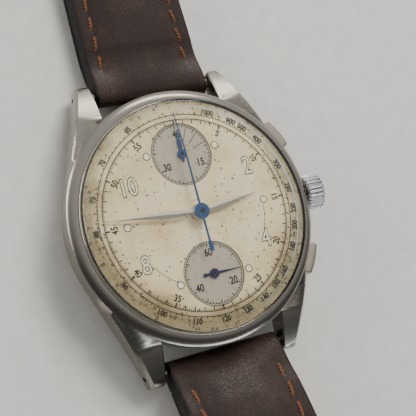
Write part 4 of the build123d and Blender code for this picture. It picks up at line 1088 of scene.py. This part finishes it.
def makeStitchTree():  # twisted two-ply stitches along the starting mesh's lines
    sizes = {"Pitch": 3.0, "Length": 2.3, "Thread": 0.16, "Sink": 0.3, "Slant": 0.1, "Material": ""}
    tree, board, given = newTree("stitches", sizes)
    plies = board.tree.nodes.new("GeometryNodeJoinGeometry")
    for turn in (0, math.pi):
        helix = board.node("GeometryNodeCurveSpiral", None, {
            "Resolution": 9, "Rotations": 2.2, "Start Radius": given["Thread"] * 0.8,
            "End Radius": given["Thread"] * 0.8, "Height": given["Length"]})
        values = {"Resolution": 6, "Radius": given["Thread"]}
        section = board.node("GeometryNodeCurvePrimitiveCircle", None, values)
        values = {"Curve": helix, "Profile Curve": section, "Fill Caps": True}
        ply = board.node("GeometryNodeCurveToMesh", None, values)
        ply = board.node("GeometryNodeTransform", None, {"Geometry": ply, "Rotation": (0, 0, turn)})
        board.tree.links.new(ply.socket, plies.inputs[0])
    laid = board.node("GeometryNodeTransform", None, {
        "Geometry": Wire(board, plies.outputs[0]),
        "Rotation": (0, math.pi / 2, 0),
        "Translation": board.join({0: given["Length"] * -0.5})})
    x, _, _ = board.split(board.node("GeometryNodeInputPosition"))
    share = (x * 2 / given["Length"]).maths("ABSOLUTE")
    drop = board.join({2: given["Sink"] * -1 * share ** 4})
    laid = board.node("GeometryNodeSetPosition", None, {"Geometry": laid, "Offset": drop})
    slant = board.join({2: given["Slant"]})
    laid = board.node("GeometryNodeTransform", None, {"Geometry": laid, "Rotation": slant})
    row = board.node("GeometryNodeMeshToCurve", None, {"Mesh": given["Geometry"]})
    row = board.node("GeometryNodeResampleCurve", {"mode": "LENGTH"}, {"Curve": row, "Length": given["Pitch"]})
    tangent = board.node("GeometryNodeInputTangent")
    facing = board.node("FunctionNodeAlignRotationToVector", {"axis": "X"}, {"Vector": tangent})
    facing = board.node("FunctionNodeAlignRotationToVector", {"axis": "Z", "pivot_axis": "X"},
                        {"Rotation": facing, "Vector": (0, 0, 1)})
    values = {"Points": row, "Instance": laid, "Rotation": facing}
    endTree(board, board.node("GeometryNodeInstanceOnPoints", None, values), given["Material"])
    return tree


stitchTree = makeStitchTree()


def makeStitches(name, half):
    work = bmesh.new()
    for side in (1, -1):
        start = bpy.data.meshes.new("row")
        count = 120
        points = []
        for step in range(count + 1):
            run = stitch["first"] + (half["stitchEnd"] - stitch["first"]) * step / count
            x = side * (halfWidth(run, half) - strap["stitchInset"])
            top = strapThickness(run) / 2 - topDrop(x, half, run) + 0.06
            points.append(strapPoint(run, x, top, half))
        start.from_pydata(points, [(step, step + 1) for step in range(count)], [])
        values = {"Pitch": stitch["pitch"], "Length": stitch["length"], "Thread": stitch["thread"],
                  "Sink": stitch["sink"], "Slant": math.radians(stitch["slant"]) * side * half["side"],
                  "Material": threadLook}
        work.from_mesh(grow(stitchTree, start, values))
    piece = newPiece(name, work, threadLook, None, None, (), 60)
    bendAcross(piece, half)


for name, half in halves.items():
    makeStrapLeather(name, half)
    makeStitches(name + "Stitches", half)
print("strap made")

# ---- keepers and buckle
keepers = {"fixedKeeper": {"run": 60.0, "body": "buckle_strap_outer", "node": "fixed_keeper"},
           "slidingKeeper": {"run": 53.0, "body": "sliding_keeper", "node": "sliding_keeper"}}
keeperSize = {"inner": 8.3, "thick": 0.9, "top": 6.3, "length": 4.5, "corner": 0.85}


def makeKeeper(name, keeper):
    k = keeperSize
    middle = k["inner"] + k["thick"] / 2
    low, high = k["thick"] / 2, k["top"] + k["thick"] / 2
    corner = k["corner"]
    right, left, upper, lower = middle - corner, corner - middle, high - corner, low + corner
    path = []
    for quarter, (cx, cz) in enumerate(((right, upper), (left, upper), (left, lower), (right, lower))):
        for step in range(9):
            angle = math.radians(90 * quarter + 90 * step / 8)
            path.append((cx, cz, math.cos(angle), math.sin(angle)))
    y = strap["bar"] + keeper["run"]
    half, edge = k["thick"] / 2, 0.25
    section = [(-half, edge), (-half + edge * 0.7, 0.04), (0, 0), (half - edge * 0.7, 0.04), (half, edge)]
    section += [(reach, k["length"] - along) for reach, along in reversed(section)]
    rings = []
    for cx, cz, dx, dz in path:
        rings.append([(cx + dx * (corner + reach), y + along, cz + dz * (corner + reach))
                      for reach, along in section])
    work = bmesh.new()
    loft(work, rings + [rings[0]], capped=False)
    piece = newPiece(name, work, leather, keeper["body"], "strap_leather", (keeper["node"],), 60)
    layer = piece.data.attributes.new("paint", "FLOAT", "POINT")
    for vertex, value in zip(piece.data.vertices, layer.data):
        along = vertex.co.y / mm - y
        value.value = 1.0 if min(along, k["length"] - along) < 0.2 else 0.0


for name, keeper in keepers.items():
    makeKeeper(name, keeper)
buckleParts = {"buckle_frame": ("buckleFrame", "buckle"), "buckle_tongue": ("buckleTongue", "buckle_tongue")}
for node, (name, body) in buckleParts.items():
    smoothCopy(node, name, metals["caseSteel"], body, "case_steel", 30)
print("keepers and buckle made")

# ---- floor, light and camera
studio = {
    "floor": rgb(222, 221, 218),
    "sky": (0.93, 0.92, 0.90, 1),
    "horizon": (0.1, 0.1, 0.105, 1),
    "bright": (0.3, 0.62, 0.62),
    "strength": 0.8,
    "lamps": {
        "key": {"from": (0.26, 0.34, 0.52), "size": (0.3, 0.3), "power": 4.4, "colour": (1.0, 0.96, 0.9),
                "mirrored": False},
        "sheet": {"from": (0.30, 0.70, 0.40), "size": (0.4, 0.2), "power": 1.5, "colour": (1.0, 0.96, 0.9),
                  "mirrored": True},
        "edge": {"from": (-0.50, 0.26, 0.20), "size": (0.5, 0.12), "power": 1.5, "colour": (1.0, 0.95, 0.88),
                 "mirrored": True},
        "low": {"from": (0.10, -0.55, 0.16), "size": (0.6, 0.1), "power": 1.0, "colour": (0.92, 0.96, 1.0),
                "mirrored": True},
    },
}


def makeStudio():
    mesh = bpy.data.meshes.new("floor")
    reach = 1.5
    sides = ((-reach, -reach), (reach, -reach), (reach, reach), (-reach, reach))
    mesh.from_pydata([(x, y, cadLow.z) for x, y in sides], [], [(0, 1, 2, 3)])
    floor = bpy.data.objects.new("floor", mesh)
    bpy.context.scene.collection.objects.link(floor)
    dress(floor, makePlain("floorPaper", studio["floor"], 0.8, scale=400))
    for name, light in studio["lamps"].items():
        lamp = bpy.data.lights.new(name, "AREA")
        lamp.shape = "RECTANGLE"
        lamp.energy = light["power"]
        lamp.size, lamp.size_y = light["size"]
        lamp.color = light["colour"]
        holder = bpy.data.objects.new(name, lamp)
        holder.visible_glossy = light["mirrored"]
        holder.visible_transmission = False
        holder.location = light["from"]
        holder.rotation_euler = (-Vector(light["from"])).to_track_quat("-Z", "Y").to_euler()
        bpy.context.scene.collection.objects.link(holder)
    world = bpy.data.worlds.new("studio")
    world.use_nodes = True
    board = Board(world.node_tree)
    axes = board.split(board.node("ShaderNodeTexCoord", None, None, output=0))
    parts = [axis * share for axis, share in zip(axes, studio["bright"])]
    colour = board.mix(board.ramp(parts[0] + parts[1] + parts[2], 0.1, 0.85), studio["horizon"], studio["sky"])
    back = board.node("ShaderNodeBackground", None, {"Color": colour, "Strength": studio["strength"]})
    output = board.tree.nodes.new("ShaderNodeOutputWorld")
    board.tree.links.new(back.socket, output.inputs["Surface"])
    bpy.context.scene.world = world


camera = {"place": (-46.35, -14.46, 110.43), "aim": (1.62, 0.39, 8.1), "up": (0.18784, 0.95568, 0.2267),
          "lens": 71.83}


def makeCamera():
    lens = bpy.data.cameras.new("camera")
    lens.lens = camera["lens"]
    lens.sensor_width = 36
    lens.clip_start = 0.005
    lens.clip_end = 20
    holder = bpy.data.objects.new("camera", lens)
    place = Vector(camera["place"]) * mm
    back = (place - Vector(camera["aim"]) * mm).normalized()
    side = Vector(camera["up"]).cross(back).normalized()
    up = back.cross(side)
    turn = Matrix((side, up, back)).transposed().to_4x4()
    holder.matrix_world = Matrix.Translation(place) @ turn
    bpy.context.scene.collection.objects.link(holder)
    bpy.context.scene.camera = holder


makeStudio()
makeCamera()
bpy.context.view_layer.update()
print("studio ready")
